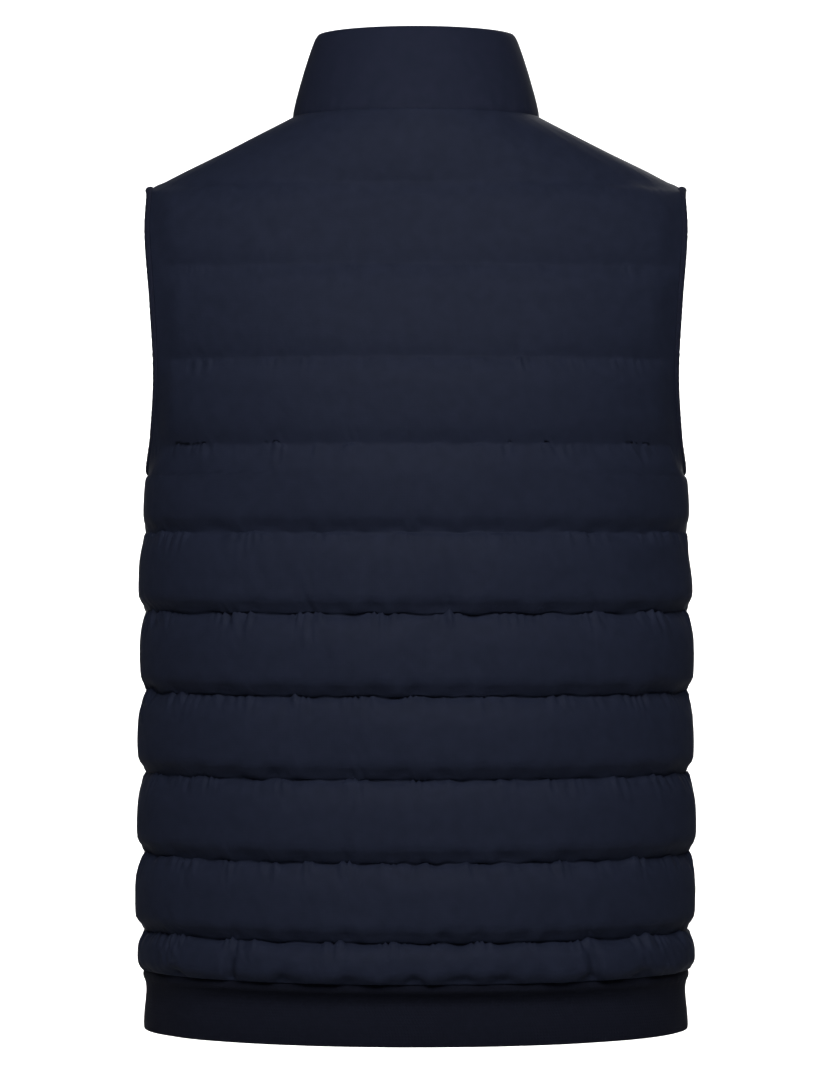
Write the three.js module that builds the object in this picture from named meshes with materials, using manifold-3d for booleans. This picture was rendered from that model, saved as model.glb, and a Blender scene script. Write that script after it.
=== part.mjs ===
// A quilted vest: no sleeves, a stand collar, bound armholes, a plain band at the hem and a front zip.
// It is filled out as it is when worn, hollow and open at the neck, the armholes and the hem.
// Millimetres, +Z up. The wearer faces -Y, with the left side at +X. The origin lies midway between the
// two neck points, where the shoulder seams meet the collar. Heights are given as distances down from it.
import * as THREE from "three";
import { mergeVertices } from "three/addons/utils/BufferGeometryUtils.js";
import Module from "manifold-3d";

const wasm = await Module();
wasm.setup();

// Driving dimensions
const SEAM_GAP = 0.3;
const COLLAR_GAP = 0.8;
const BINDING_GAP = 0.6;
const WALL = 4;
const NECK_HALF_WIDTH = 96.5;
const FRONT_NECK_DROP = 80;
const SHOULDER_OUT = 205;
const SHOULDER_DROP = 54;
const ARMPIT_DROP = 280;
const ARMHOLE_BACK = 56;
const ARMHOLE_FRONT = 70;
const BODY_DROP = 663;
const HEM_DROP = 710;
const COLLAR_HEIGHT = 68;
const FRONT_OPENING = 10;

// Level sections of the body at the depth of its quilting stitches: half the width, and the depth of the
// back and of the front.
const SECTIONS = [
  { drop: 0, halfWidth: 96.5, back: 83, front: 24 },
  { drop: 20, halfWidth: 136, back: 88, front: 42 },
  { drop: 54, halfWidth: 205, back: 94, front: 70 },
  { drop: 90, halfWidth: 205.5, back: 102, front: 94 },
  { drop: 147, halfWidth: 201, back: 117, front: 119 },
  { drop: 203, halfWidth: 199, back: 129, front: 133 },
  { drop: 250, halfWidth: 203, back: 134, front: 139 },
  { drop: 280, halfWidth: 208.5, back: 136, front: 140 },
  { drop: 343, halfWidth: 211.5, back: 137, front: 139 },
  { drop: 448, halfWidth: 210, back: 137, front: 137 },
  { drop: 568, halfWidth: 212, back: 136, front: 134 },
  { drop: 663, halfWidth: 211.5, back: 135, front: 131 },
  { drop: 710, halfWidth: 212.5, back: 135, front: 130 },
];

// How far round its ellipse each panel turns before it ends at its side edge, in degrees. From the chest
// down this gives way to the turn at which the whole ellipse of the body is cut off by the armhole.
const TURNS = [
  { drop: 0, back: 90, front: 90 },
  { drop: 20, back: 84, front: 84 },
  { drop: 54, back: 70, front: 72 },
  { drop: 90, back: 63, front: 64 },
  { drop: 147, back: 60, front: 60 },
  { drop: 203, back: 63, front: 62 },
];
const CHEST = { from: 147, to: 203 };

// The filled channels from the neck down: the stitch line under each and how far it puffs out.
const CHANNELS = [
  { drop: 58, puff: 3.5 },
  { drop: 121, puff: 4.5 },
  { drop: 192, puff: 5 },
  { drop: 257.5, puff: 5.5 },
  { drop: 324, puff: 6.5 },
  { drop: 385.6, puff: 8 },
  { drop: 447.8, puff: 8.5 },
  { drop: 510, puff: 8.5 },
  { drop: 572.4, puff: 8.5 },
  { drop: 632.4, puff: 8.5 },
  { drop: 663, puff: 8.5 },
];

// The form of a channel across its height. A full one has a flatter middle, and its filling has sunk
// further. The filling is also a little uneven along it, in two waves.
const FULL_CHANNELS = { from: 230, to: 380 };
const ARCH = { flat: 2.2, flatWhenFull: 3.1, sunk: 1.05, sunkWhenFull: 1.2, round: 0.62 };
const UNEVEN = [
  { share: 0.09, length: 37, shift: 3.1 },
  { share: 0.06, length: 17, shift: 1 },
];

// Places down a channel, as shares of its height, where a wall has a row of points.
const CHANNEL_ROWS = [0.09, 0.3, 0.64, 0.89];
const PLAIN_ROWS = [0.6];
const LEAST_ROW_GAP = 3;
// More rows, as drops: at the ends of the armhole and of the front neckline, where an edge turns fastest.
const ARMHOLE_ROWS = [54, 55.2, 64, 266, 273.5, 277.5, 279.3, 280];
const NECKLINE_ROWS = [2.5, 70, 76, 79, 80];

// The largest creases in the quilting: soft troughs, on the back or the front, running along their tilt.
const CREASES = [
  { side: "back", across: -18, drop: 386, run: 34, tilt: 70, depth: 2.6, spread: 13 },
  { side: "back", across: -196, drop: 345, run: 40, tilt: 25, depth: 2.4, spread: 14 },
  { side: "back", across: 186, drop: 262, run: 36, tilt: -35, depth: 2.2, spread: 14 },
  { side: "back", across: 137, drop: 648, run: 20, tilt: 80, depth: 3, spread: 12 },
  { side: "back", across: -128, drop: 646, run: 20, tilt: -80, depth: 2.6, spread: 12 },
  { side: "front", across: 168, drop: 300, run: 44, tilt: 30, depth: 2.4, spread: 14 },
  { side: "front", across: -172, drop: 312, run: 40, tilt: -28, depth: 2.2, spread: 14 },
  { side: "front", across: 60, drop: 520, run: 30, tilt: 75, depth: 2.4, spread: 13 },
];

// A crease takes away at most this share of the puff.
const CREASE_SHARE = 0.6;

const BACK_COLUMNS = 20;
const FRONT_COLUMNS = 10;
const BAND_STEPS = 56;

// How the puff fades towards a panel's edges, over which distance, and what is left of it there.
const EDGE_FADE = 42;
const ZIP_EDGE_FADE = 26;
const ARMHOLE_FADE = 12;
const SIDE_PUFF_SHARE = 0.28;
const ZIP_EDGE_PUFF_SHARE = 0.15;

// Exponents that bend the shoulder seam, round the armhole off and shape the front neckline.
const SHOULDER_BEND = 1.06;
const ARMHOLE_ROUND = 0.44;
const NECKLINE_BEND = 0.8;
// Within this distance of a side seam the cloth's direction turns into the plane of the seam.
const SEAM_TURN = 14;
// The panels' length round the body for each millimetre of half width.
const ROUND_PER_HALF_WIDTH = 1.2;

const radians = THREE.MathUtils.degToRad;
const clamp = THREE.MathUtils.clamp;
const smooth = (share) => THREE.MathUtils.smoothstep(share, 0, 1);
const vector = (x, y, z) => new THREE.Vector3(x, y, z);
// Away from the middle line and a little up, which leads out of the vest from anywhere on its surface.
const wayOut = (point) => vector(point.x, point.y, 60);

// A column of a table read at any drop, along a smooth curve through its rows.
function readTable(rows, column, drop) {
  const last = rows.length - 2;
  let i = rows.findIndex((row, n) => n > 0 && drop <= row.drop) - 1;
  if (i < 0) i = last;
  const slope = (n) => {
    const before = rows[Math.max(n - 1, 0)];
    const after = rows[Math.min(n + 1, last + 1)];
    return (after[column] - before[column]) / (after.drop - before.drop);
  };
  const span = rows[i + 1].drop - rows[i].drop;
  const t = (drop - rows[i].drop) / span;
  const rise = t * t * (3 - 2 * t);
  return (
    rows[i][column] * (1 - rise) +
    rows[i + 1][column] * rise +
    span * (t * (1 - t) ** 2 * slope(i) - t * t * (1 - t) * slope(i + 1))
  );
}

// Half the width at a drop: the shoulder seam runs nearly straight, then the side follows the table.
function halfWidthAt(drop) {
  if (drop >= SHOULDER_DROP) {
    return readTable(
      SECTIONS.filter((row) => row.drop >= SHOULDER_DROP),
      "halfWidth",
      drop,
    );
  }
  const along = Math.max(drop, 0) / SHOULDER_DROP;
  return NECK_HALF_WIDTH + (SHOULDER_OUT - NECK_HALF_WIDTH) * along ** SHOULDER_BEND;
}

// How far behind or before the side seams a panel's armhole edge lies.
function armholeDepthAt(drop, deepest) {
  const half = (ARMPIT_DROP - SHOULDER_DROP) / 2;
  const level = (drop - SHOULDER_DROP - half) / half;
  return deepest * Math.max(0, 1 - level * level) ** ARMHOLE_ROUND;
}

const SIDES = {
  back: { facing: 1, column: "back", armhole: ARMHOLE_BACK },
  front: { facing: -1, column: "front", armhole: ARMHOLE_FRONT },
};

// One level section of a side of the body: the sizes that its ellipse is drawn from.
function sectionAt(side, drop) {
  const edge = armholeDepthAt(drop, side.armhole) + SEAM_GAP / 2;
  const halfWidth = halfWidthAt(drop);
  const depth = readTable(SECTIONS, side.column, drop);
  const above = radians(clamp(readTable(TURNS, side.column, Math.min(drop, CHEST.to)), 0, 90));
  const below = Math.acos(edge / depth);
  const turn = THREE.MathUtils.lerp(above, below, THREE.MathUtils.smoothstep(drop, CHEST.from, CHEST.to));
  return { edge, halfWidth, depth, turn };
}

// The angle round the section at which it lies so far across.
function angleAcross(side, drop, across) {
  const { halfWidth, turn } = sectionAt(side, drop);
  return Math.asin(clamp((across / halfWidth) * Math.sin(turn), -1, 1));
}

function bodyPoint(side, drop, angle) {
  const { edge, halfWidth, depth, turn } = sectionAt(side, drop);
  const across = (halfWidth * Math.sin(angle)) / Math.sin(turn);
  const share = (Math.cos(angle) - Math.cos(turn)) / (1 - Math.cos(turn));
  return vector(across, side.facing * (edge + (depth - edge) * share), -drop);
}

// The direction out of the cloth. At the side and shoulder seams it turns into the plane of the seam,
// so that the panels that meet there end in the same plane.
function outwardAt(side, drop, angle) {
  const step = 0.5;
  const tilt = 0.004;
  const top = Math.max(drop - step, 0);
  const down = bodyPoint(side, drop + step, angle).sub(bodyPoint(side, top, angle));
  const round = bodyPoint(side, drop, angle + tilt).sub(bodyPoint(side, drop, angle - tilt));
  const out = round.cross(down).normalize();
  const point = bodyPoint(side, drop, angle);
  if (out.dot(wayOut(point)) < 0) out.negate();
  out.y *= smooth((Math.abs(point.y) - SEAM_GAP) / SEAM_TURN);
  return out.normalize();
}

function channelAt(drop) {
  const found = CHANNELS.findIndex((channel) => drop <= channel.drop + 1e-6);
  const index = found < 0 ? CHANNELS.length - 1 : found;
  const top = index === 0 ? 0 : CHANNELS[index - 1].drop;
  return { index, top, bottom: CHANNELS[index].drop, puff: CHANNELS[index].puff };
}

function creaseDepth(sideName, point) {
  let depth = 0;
  for (const crease of CREASES) {
    if (crease.side !== sideName) continue;
    const dx = point.x - crease.across;
    const dz = -point.z - crease.drop;
    const tilt = radians(crease.tilt);
    const along = dx * Math.cos(tilt) + dz * Math.sin(tilt);
    const off = dz * Math.cos(tilt) - dx * Math.sin(tilt);
    depth += crease.depth * Math.exp(-((along / crease.run) ** 2) - (off / crease.spread) ** 2);
  }
  return depth;
}

// How far the filling stands out at a point. edgeShare is what is left of the puff at the nearest edge,
// and fade rises from 0 there to 1 where the puff is whole.
function puffAt(sideName, drop, point, fade, edgeShare) {
  const { index, top, bottom, puff } = channelAt(drop);
  const fullness = THREE.MathUtils.smoothstep(drop, FULL_CHANNELS.from, FULL_CHANNELS.to);
  const sunk = ARCH.sunk + (ARCH.sunkWhenFull - ARCH.sunk) * fullness;
  const flat = ARCH.flat + (ARCH.flatWhenFull - ARCH.flat) * fullness;
  const down = clamp((drop - top) / (bottom - top), 0, 1) ** sunk;
  const arch = Math.max(0, 1 - Math.abs(2 * down - 1) ** flat) ** ARCH.round;
  const wave = ({ share, length, shift }) => share * Math.sin(point.x / length + shift * index);
  const uneven = UNEVEN.reduce((sum, row) => sum + wave(row), 1);
  const full = puff * arch * uneven;
  const left = edgeShare + (1 - edgeShare) * fade;
  const crease = Math.min(creaseDepth(sideName, point) * arch, CREASE_SHARE * full);
  return Math.max(full * left - crease, 0);
}

// Rows of points down a panel. The outer wall has every row, the plain inner one only some of them, but
// both have the same rows along the neckline and the armhole, where the collar and the binding lie.
function panelDrops(side, inner) {
  const extra = side === SIDES.front ? [...NECKLINE_ROWS, ...ARMHOLE_ROWS] : ARMHOLE_ROWS;
  const lines = side === SIDES.front ? [] : [0];
  const between = [];
  let top = 0;
  for (const { drop } of CHANNELS) {
    const shares = inner && top > ARMPIT_DROP ? PLAIN_ROWS : CHANNEL_ROWS;
    shares.forEach((share) => between.push(top + share * (drop - top)));
    lines.push(drop);
    top = drop;
  }
  lines[lines.length - 1] = BODY_DROP - SEAM_GAP / 2;
  const kept = [...lines, ...extra];
  const clear = between.filter((drop) => kept.every((row) => Math.abs(row - drop) > LEAST_ROW_GAP));
  return [...kept, ...clear].sort((a, b) => a - b);
}

// A grid of points with the values that its rows and columns stand for.
function makeGrid(rowValues, columnValues, pointAt) {
  const points = rowValues.map((row) => columnValues.map((column) => pointAt(row, column)));
  return { points, rowValues, columnValues };
}

// The border of a grid as four runs, in the order in which its own triangles pass along it.
function gridBorder({ points, rowValues, columnValues }) {
  const lastRow = points.length - 1;
  const lastColumn = columnValues.length - 1;
  return [
    { points: points.map((row) => row[0]), values: rowValues },
    { points: points[lastRow], values: columnValues },
    { points: points.map((row) => row[lastColumn]).reverse(), values: rowValues.map((v) => -v).reverse() },
    { points: [...points[0]].reverse(), values: columnValues.map((v) => -v).reverse() },
  ];
}

// Triangles between two runs of points that start and end together but may differ in number.
function stitchRuns(triangles, outer, inner) {
  let i = 0;
  let j = 0;
  while (i < outer.points.length - 1 || j < inner.points.length - 1) {
    const outerNext = i < outer.points.length - 1 ? outer.values[i + 1] : Infinity;
    const innerNext = j < inner.points.length - 1 ? inner.values[j + 1] : Infinity;
    if (outerNext <= innerNext) {
      triangles.push(outer.points[i + 1], outer.points[i], inner.points[j]);
      i += 1;
    } else {
      triangles.push(inner.points[j], inner.points[j + 1], outer.points[i]);
      j += 1;
    }
  }
}

function gridTriangles(triangles, { points }, reversed) {
  for (let r = 0; r < points.length - 1; r += 1) {
    for (let c = 0; c < points[r].length - 1; c += 1) {
      const [a, b, d, e] = [points[r][c], points[r + 1][c], points[r + 1][c + 1], points[r][c + 1]];
      if (reversed) triangles.push(a, d, b, a, e, d);
      else triangles.push(a, b, d, a, d, e);
    }
  }
}

// A closed body from loose triangles, turned so that its faces point out.
function closedGeometry(triangles) {
  let volume = 0;
  for (let i = 0; i < triangles.length; i += 3) {
    volume += triangles[i].dot(vector(0, 0, 0).crossVectors(triangles[i + 1], triangles[i + 2]));
  }
  const points = volume < 0 ? [...triangles].reverse() : triangles;
  return new THREE.BufferGeometry().setFromPoints(points);
}

// A wall between an outer and an inner grid of points, closed by a rim along their four edges.
function wallGeometry(outer, inner) {
  const triangles = [];
  gridTriangles(triangles, outer, false);
  gridTriangles(triangles, inner, true);
  const innerBorder = gridBorder(inner);
  gridBorder(outer).forEach((run, n) => stitchRuns(triangles, run, innerBorder[n]));
  return closedGeometry(triangles);
}

// A body through a row of closed sections with the same number of points. A ring joins its last section
// to its first, and an open row is closed by a flat cap at each end.
function loftGeometry(sections, ring) {
  const triangles = [];
  const count = sections[0].length;
  const steps = ring ? sections.length : sections.length - 1;
  for (let s = 0; s < steps; s += 1) {
    const here = sections[s];
    const next = sections[(s + 1) % sections.length];
    for (let i = 0; i < count; i += 1) {
      const k = (i + 1) % count;
      triangles.push(here[i], next[i], next[k], here[i], next[k], here[k]);
    }
  }
  if (!ring) {
    [sections[0], sections[sections.length - 1]].forEach((section, end) => {
      const middle = section.reduce((sum, p) => sum.add(p), vector(0, 0, 0)).divideScalar(count);
      section.forEach((point, i) => {
        const next = section[(i + 1) % count];
        if (end === 0) triangles.push(point, next, middle);
        else triangles.push(next, point, middle);
      });
    });
  }
  return closedGeometry(triangles);
}

const shares = (count) => Array.from({ length: count + 1 }, (_, i) => i / count);

// Panels

function panelPoint(sideName, drop, angle, fade, edgeShare, outer) {
  const side = SIDES[sideName];
  const point = bodyPoint(side, drop, angle);
  const lift = outer ? puffAt(sideName, drop, point, fade, edgeShare) : -WALL;
  return point.addScaledVector(outwardAt(side, drop, angle), lift);
}

// What is left of the puff at the side edge: some at the side seam, none at the armhole's binding.
function sideEdgeShare(side, drop) {
  const atArmhole = smooth(armholeDepthAt(drop, side.armhole) / ARMHOLE_FADE);
  const atShoulder = drop < SHOULDER_DROP ? smooth((SHOULDER_DROP - drop) / ARMHOLE_FADE) : 1;
  return SIDE_PUFF_SHARE * (1 - atArmhole) * atShoulder;
}

function backPanel() {
  const side = SIDES.back;
  const pointAt = (outer) => (drop, column) => {
    const { turn, halfWidth } = sectionAt(side, drop);
    const toSide = halfWidth * ROUND_PER_HALF_WIDTH * (1 - Math.abs(column));
    const fade = smooth(toSide / EDGE_FADE);
    return panelPoint("back", drop, column * turn, fade, sideEdgeShare(side, drop), outer);
  };
  const columns = (count) => shares(count).map((share) => 2 * share - 1);
  return wallGeometry(
    makeGrid(panelDrops(side, false), columns(BACK_COLUMNS), pointAt(true)),
    makeGrid(panelDrops(side, true), columns(BACK_COLUMNS / 2), pointAt(false)),
  );
}

// How far across the front neckline lies at a drop, down to where the front edges begin.
function necklineAcross(drop) {
  if (drop >= FRONT_NECK_DROP) return 0;
  const forward = (drop / FRONT_NECK_DROP) ** NECKLINE_BEND;
  return NECK_HALF_WIDTH * Math.sqrt(Math.max(0, 1 - forward * forward));
}

const frontEdgeAcross = (drop) => Math.max(FRONT_OPENING / 2, necklineAcross(drop));

// wearerSide is 1 for the wearer's left front and -1 for the right one.
function frontPanel(wearerSide) {
  const side = SIDES.front;
  const pointAt = (outer) => (drop, column) => {
    const { turn, halfWidth } = sectionAt(side, drop);
    const from = angleAcross(side, drop, frontEdgeAcross(drop));
    const angle = from + column * (turn - from);
    const spread = ((turn - from) / turn) * halfWidth * ROUND_PER_HALF_WIDTH;
    const toSide = spread * (1 - column);
    const toFront = spread * column;
    const nearSide = toSide < toFront;
    const edgeShare = nearSide ? sideEdgeShare(side, drop) : ZIP_EDGE_PUFF_SHARE;
    const fade = nearSide ? smooth(toSide / EDGE_FADE) : smooth(toFront / ZIP_EDGE_FADE);
    const point = panelPoint("front", drop, angle, fade, edgeShare, outer);
    point.x *= wearerSide;
    return point;
  };
  return wallGeometry(
    makeGrid(panelDrops(side, false), shares(FRONT_COLUMNS), pointAt(true)),
    makeGrid(panelDrops(side, true), shares(FRONT_COLUMNS / 2), pointAt(false)),
  );
}

// Collar

// A place on the neck edge of the panels, at an angle round the neck from 0 at the back to a half turn at
// the front: the point, the direction out of the cloth there and the one past its edge.
function neckEdge(angle) {
  const forward = Math.max(0, -Math.cos(angle));
  const side = forward > 0 ? SIDES.front : SIDES.back;
  const dropAt = (ahead) => FRONT_NECK_DROP * ahead ** (1 / NECKLINE_BEND);
  const drop = dropAt(forward);
  const placeAt = (turn) => {
    const ahead = Math.max(0, -Math.cos(turn));
    const level = dropAt(ahead);
    const across = Math.max(NECK_HALF_WIDTH * Math.sin(turn), FRONT_OPENING / 2);
    if (ahead > 0) return bodyPoint(SIDES.front, level, angleAcross(SIDES.front, level, across));
    return bodyPoint(SIDES.back, 0, turn);
  };
  const point = placeAt(angle);
  const out = outwardAt(side, drop, forward > 0 ? angleAcross(side, drop, point.x) : angle);
  const tilt = 0.02;
  const along = placeAt(Math.min(angle + tilt, Math.PI)).sub(placeAt(Math.max(angle - tilt, 0)));
  const past = along.cross(out).normalize();
  if (past.dot(wayOut(point.clone().negate())) < 0) past.negate();
  return { point, out, past };
}

// The collar's upper edge: level round the back, then falling to the front, where it is as tall as behind.
const COLLAR_TOP = { halfWidth: 79, back: 50, front: 94, fallsFrom: 75, frontDrop: 11 };
const COLLAR_MIDDLE = (COLLAR_TOP.back - COLLAR_TOP.front) / 2;
// The share of its height over which the collar turns from the panels' slope to its own.
const COLLAR_TURN = 0.3;

function collarHead(angle) {
  const { halfWidth, back, front, fallsFrom, frontDrop } = COLLAR_TOP;
  const fall = clamp((THREE.MathUtils.radToDeg(angle) - fallsFrom) / (180 - fallsFrom), 0, 1);
  const lowered = (1 - Math.cos(Math.PI * fall)) / 2;
  const nearest = angle > Math.PI / 2 ? FRONT_OPENING / 2 : 0;
  return vector(
    Math.max(halfWidth * Math.sin(angle), nearest),
    COLLAR_MIDDLE + ((back + front) / 2) * Math.cos(angle),
    COLLAR_HEIGHT - (COLLAR_HEIGHT + frontDrop) * lowered,
  );
}

// The collar's wall across its height: how far up, and how far in from the outer face.
const COLLAR_SECTION = [
  { up: 0, inward: 0 },
  { up: 0.06, inward: -1.2 },
  { up: 0.3, inward: -1.6 },
  { up: 0.62, inward: -1.4 },
  { up: 0.9, inward: -0.4 },
  { up: 0.98, inward: 1 },
  { up: 1, inward: 2.6 },
  { up: 0.98, inward: 3.6 },
  { up: 0.9, inward: WALL },
  { up: 0.5, inward: WALL },
  { up: 0.06, inward: WALL },
  { up: 0, inward: WALL },
];

// The collar has a section at every point of the panels' neck edge, so it follows that edge exactly.
function collarAngles() {
  const ahead = panelDrops(SIDES.front, false)
    .filter((drop) => drop < FRONT_NECK_DROP)
    .map((drop) => Math.acos(-((drop / FRONT_NECK_DROP) ** 0.8)));
  const behind = shares(BACK_COLUMNS / 2).map((share) => (share * Math.PI) / 2);
  return [...behind, ...ahead, Math.PI];
}

function collarSection(angle) {
  const { point, out, past } = neckEdge(angle);
  const foot = point.clone().addScaledVector(past, COLLAR_GAP);
  const head = collarHead(angle);
  const up = head.clone().sub(foot);
  const tilt = 0.01;
  const round = collarHead(angle + tilt).sub(collarHead(angle - tilt));
  // At the zip the edge is held open, so there its direction is straight across.
  if (head.x <= FRONT_OPENING && angle > Math.PI / 2) round.x = -1;
  const wallIn = round.cross(up).normalize();
  if (wallIn.x * head.x + wallIn.y * (head.y - COLLAR_MIDDLE) > 0) wallIn.negate();
  return COLLAR_SECTION.map((row) => {
    const inward = out.clone().negate().lerp(wallIn, smooth(row.up / COLLAR_TURN)).normalize();
    return foot.clone().addScaledVector(up, row.up).addScaledVector(inward, row.inward);
  });
}

function collar() {
  const left = collarAngles().map(collarSection);
  // The back panel's plain inner wall has half as many columns, so the foot's inner edge follows those.
  const inner = COLLAR_SECTION.length - 1;
  for (let i = 1; i < BACK_COLUMNS / 2; i += 2) {
    left[i][inner].copy(left[i - 1][inner]).lerp(left[i + 1][inner], 0.5);
  }
  const right = left
    .slice(1)
    .map((section) => section.map((p) => vector(-p.x, p.y, p.z)))
    .reverse();
  return loftGeometry([...right, ...left], false);
}

// Hem band

// The band across its height: how far down it, how far out from the body's line, and how much further in
// at the middle of the back. A thin roll follows the seam, then the cloth falls in under it and comes out
// again to a plain lower part.
const BAND_SECTION = [
  { down: 0, out: -0.5, hollow: 0 },
  { down: 0.05, out: 1.2, hollow: 0 },
  { down: 0.16, out: 0.6, hollow: 0.8 },
  { down: 0.3, out: -1.4, hollow: 3 },
  { down: 0.46, out: -1.4, hollow: 2.4 },
  { down: 0.68, out: -0.4, hollow: 0.5 },
  { down: 0.95, out: 0, hollow: 0 },
  { down: 1, out: -0.9, hollow: 0 },
  { down: 1, out: -3.1, hollow: 0 },
  { down: 0.7, out: -4, hollow: 0.5 },
  { down: 0.35, out: -4.2, hollow: 3 },
  { down: 0, out: -4, hollow: 0 },
];

function hemBand() {
  const top = BODY_DROP + SEAM_GAP / 2;
  const sections = shares(BAND_STEPS).map((share) => {
    const turn = (2 * share - 1) * Math.PI;
    const side = Math.abs(turn) <= Math.PI / 2 ? SIDES.back : SIDES.front;
    return BAND_SECTION.map((row) => {
      const drop = top + row.down * (HEM_DROP - top);
      const { halfWidth, depth } = sectionAt(side, drop);
      const end = Math.asin(FRONT_OPENING / 2 / halfWidth);
      const angle = clamp(turn, end - Math.PI, Math.PI - end);
      const out = row.out - row.hollow * smooth(Math.cos(angle));
      const normal = vector(Math.sin(angle) / halfWidth, Math.cos(angle) / depth, 0).normalize();
      const point = vector(halfWidth * Math.sin(angle), depth * Math.cos(angle), -drop);
      return point.addScaledVector(normal, out);
    });
  });
  return loftGeometry(sections, false);
}

// Armhole bindings

// A folded strip that wraps the edge: how far it reaches into the armhole, and how far out of the cloth.
const BINDING_SECTION = [
  { reach: 0, out: 0.4 },
  { reach: 1.6, out: 1.3 },
  { reach: 4.2, out: 1 },
  { reach: 5.8, out: -0.6 },
  { reach: 6, out: -2.4 },
  { reach: 4.2, out: -4.6 },
  { reach: 1.6, out: -5 },
  { reach: 0, out: -4.2 },
];

function armholeEdge() {
  const inArmhole = (drop) => drop >= SHOULDER_DROP && drop <= ARMPIT_DROP;
  const along = (side) =>
    panelDrops(side, false)
      .filter(inArmhole)
      .map((drop) => ({ side, drop }));
  return [...along(SIDES.back), ...along(SIDES.front).slice(1, -1).reverse()];
}

function armholeBinding(wearerSide) {
  const edge = armholeEdge().map(({ side, drop }) => {
    const { turn } = sectionAt(side, drop);
    return { point: bodyPoint(side, drop, turn), out: outwardAt(side, drop, turn) };
  });
  const count = edge.length;
  const sections = edge.map(({ point, out }, i) => {
    const ahead = edge[(i + 1) % count].point;
    const behind = edge[(i + count - 1) % count].point;
    const along = ahead.clone().sub(behind).normalize();
    const reach = along.clone().cross(out).normalize();
    const middle = vector(point.x, 0, -(SHOULDER_DROP + ARMPIT_DROP) / 2);
    if (reach.dot(middle.sub(point)) < 0) reach.negate();
    return BINDING_SECTION.map((row) => {
      const place = point
        .clone()
        .addScaledVector(reach, row.reach + BINDING_GAP)
        .addScaledVector(out, row.out);
      place.x *= wearerSide;
      return place;
    });
  });
  return loftGeometry(sections, true);
}

// Zip

const TAPE = { wall: 0.8, from: 3.4, to: 11, setBack: 1 };
const CHAIN = { halfWidth: 3, thickness: 2.4 };
const SLIDER = { drop: 22, height: 12, halfWidth: 4.6, plate: 1.2, wedge: 3 };
const BRIDGE = { height: 10, width: 2, post: 1.6 };
const PULL = { length: 27, halfWidth: 3.8, thickness: 1.2, bar: 1.2, arm: 2, corner: 1.6, taper: 0.4 };
const EYE_PAST_SLIDER = 0.6;
const ZIP_TOP = 14;
const ZIP_BOTTOM = HEM_DROP - 4;
const BOX_HEIGHT = 9;
const BOX_EXTRA = 0.6;
// The zip bends at the neck, so its sections lie close together down to the chest.
const ZIP_BENDS = { until: 150, step: 8 };
const ZIP_STEP = 28;

// The outer face of the collar and the fronts along the middle line, as a depth before the side seams.
function middleDepthAt(drop) {
  if (drop >= FRONT_NECK_DROP) return readTable(SECTIONS, "front", drop);
  const { front, frontDrop } = COLLAR_TOP;
  const share = clamp((drop - frontDrop) / (FRONT_NECK_DROP - frontDrop), 0, 1);
  return THREE.MathUtils.lerp(front, readTable(SECTIONS, "front", FRONT_NECK_DROP), share);
}

const TAPE_BEHIND = WALL + SEAM_GAP + 0.45;
const CHAIN_BEHIND = TAPE_BEHIND + (TAPE.wall - CHAIN.thickness) / 2;

// A strip down the middle line, from one edge across to the other, so far behind the outer face at each.
function zipStrip(from, to, edges, wall) {
  const drops = [from];
  while (drops[drops.length - 1] < to) {
    const last = drops[drops.length - 1];
    drops.push(Math.min(to, last + (last < ZIP_BENDS.until ? ZIP_BENDS.step : ZIP_STEP)));
  }
  const sections = drops.map((drop) => {
    const face = -middleDepthAt(drop);
    const slope = (middleDepthAt(drop + ZIP_BENDS.step) - middleDepthAt(drop)) / ZIP_BENDS.step;
    const level = Math.hypot(1, slope);
    const [low, high] = edges;
    return [
      vector(low.across, face + low.behind * level, -drop),
      vector(high.across, face + high.behind * level, -drop),
      vector(high.across, face + (high.behind + wall) * level, -drop),
      vector(low.across, face + (low.behind + wall) * level, -drop),
    ];
  });
  return loftGeometry(sections, false);
}

function evenEdges(halfWidth, behind) {
  return [
    { across: -halfWidth, behind },
    { across: halfWidth, behind },
  ];
}

function zipTape(wearerSide) {
  const edges = [
    { across: TAPE.from * wearerSide, behind: TAPE_BEHIND },
    { across: TAPE.to * wearerSide, behind: TAPE_BEHIND + TAPE.setBack },
  ];
  return zipStrip(ZIP_TOP, ZIP_BOTTOM, edges, TAPE.wall);
}

function toSolid(geometry) {
  const bare = geometry.index ? geometry.toNonIndexed() : geometry.clone();
  bare.deleteAttribute("normal");
  bare.deleteAttribute("uv");
  const merged = mergeVertices(bare, 1e-3);
  return new wasm.Manifold(
    new wasm.Mesh({
      numProp: 3,
      vertProperties: merged.attributes.position.array,
      triVerts: new Uint32Array(merged.index.array),
    }),
  );
}

function fromSolid(solid) {
  const mesh = solid.getMesh();
  const geometry = new THREE.BufferGeometry();
  geometry.setAttribute("position", new THREE.BufferAttribute(mesh.vertProperties, 3));
  return geometry.setIndex(new THREE.BufferAttribute(mesh.triVerts, 1));
}

function block(width, depth, height, x, y, z) {
  return toSolid(new THREE.BoxGeometry(width, depth, height).translate(x, y, z));
}

// Depths of the slider's parts, measured back from the collar's outer face where the slider sits.
const PLATE_BACK = CHAIN_BEHIND - SEAM_GAP;
const REAR_PLATE_FRONT = CHAIN_BEHIND + CHAIN.thickness + SEAM_GAP;
const PULL_ROOM = 0.35;
const PULL_AXIS = PLATE_BACK - SLIDER.plate - SEAM_GAP - PULL_ROOM - PULL.thickness / 2;
const BRIDGE_BACK = PULL_AXIS - PULL.thickness / 2 - PULL_ROOM - SEAM_GAP;

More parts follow.
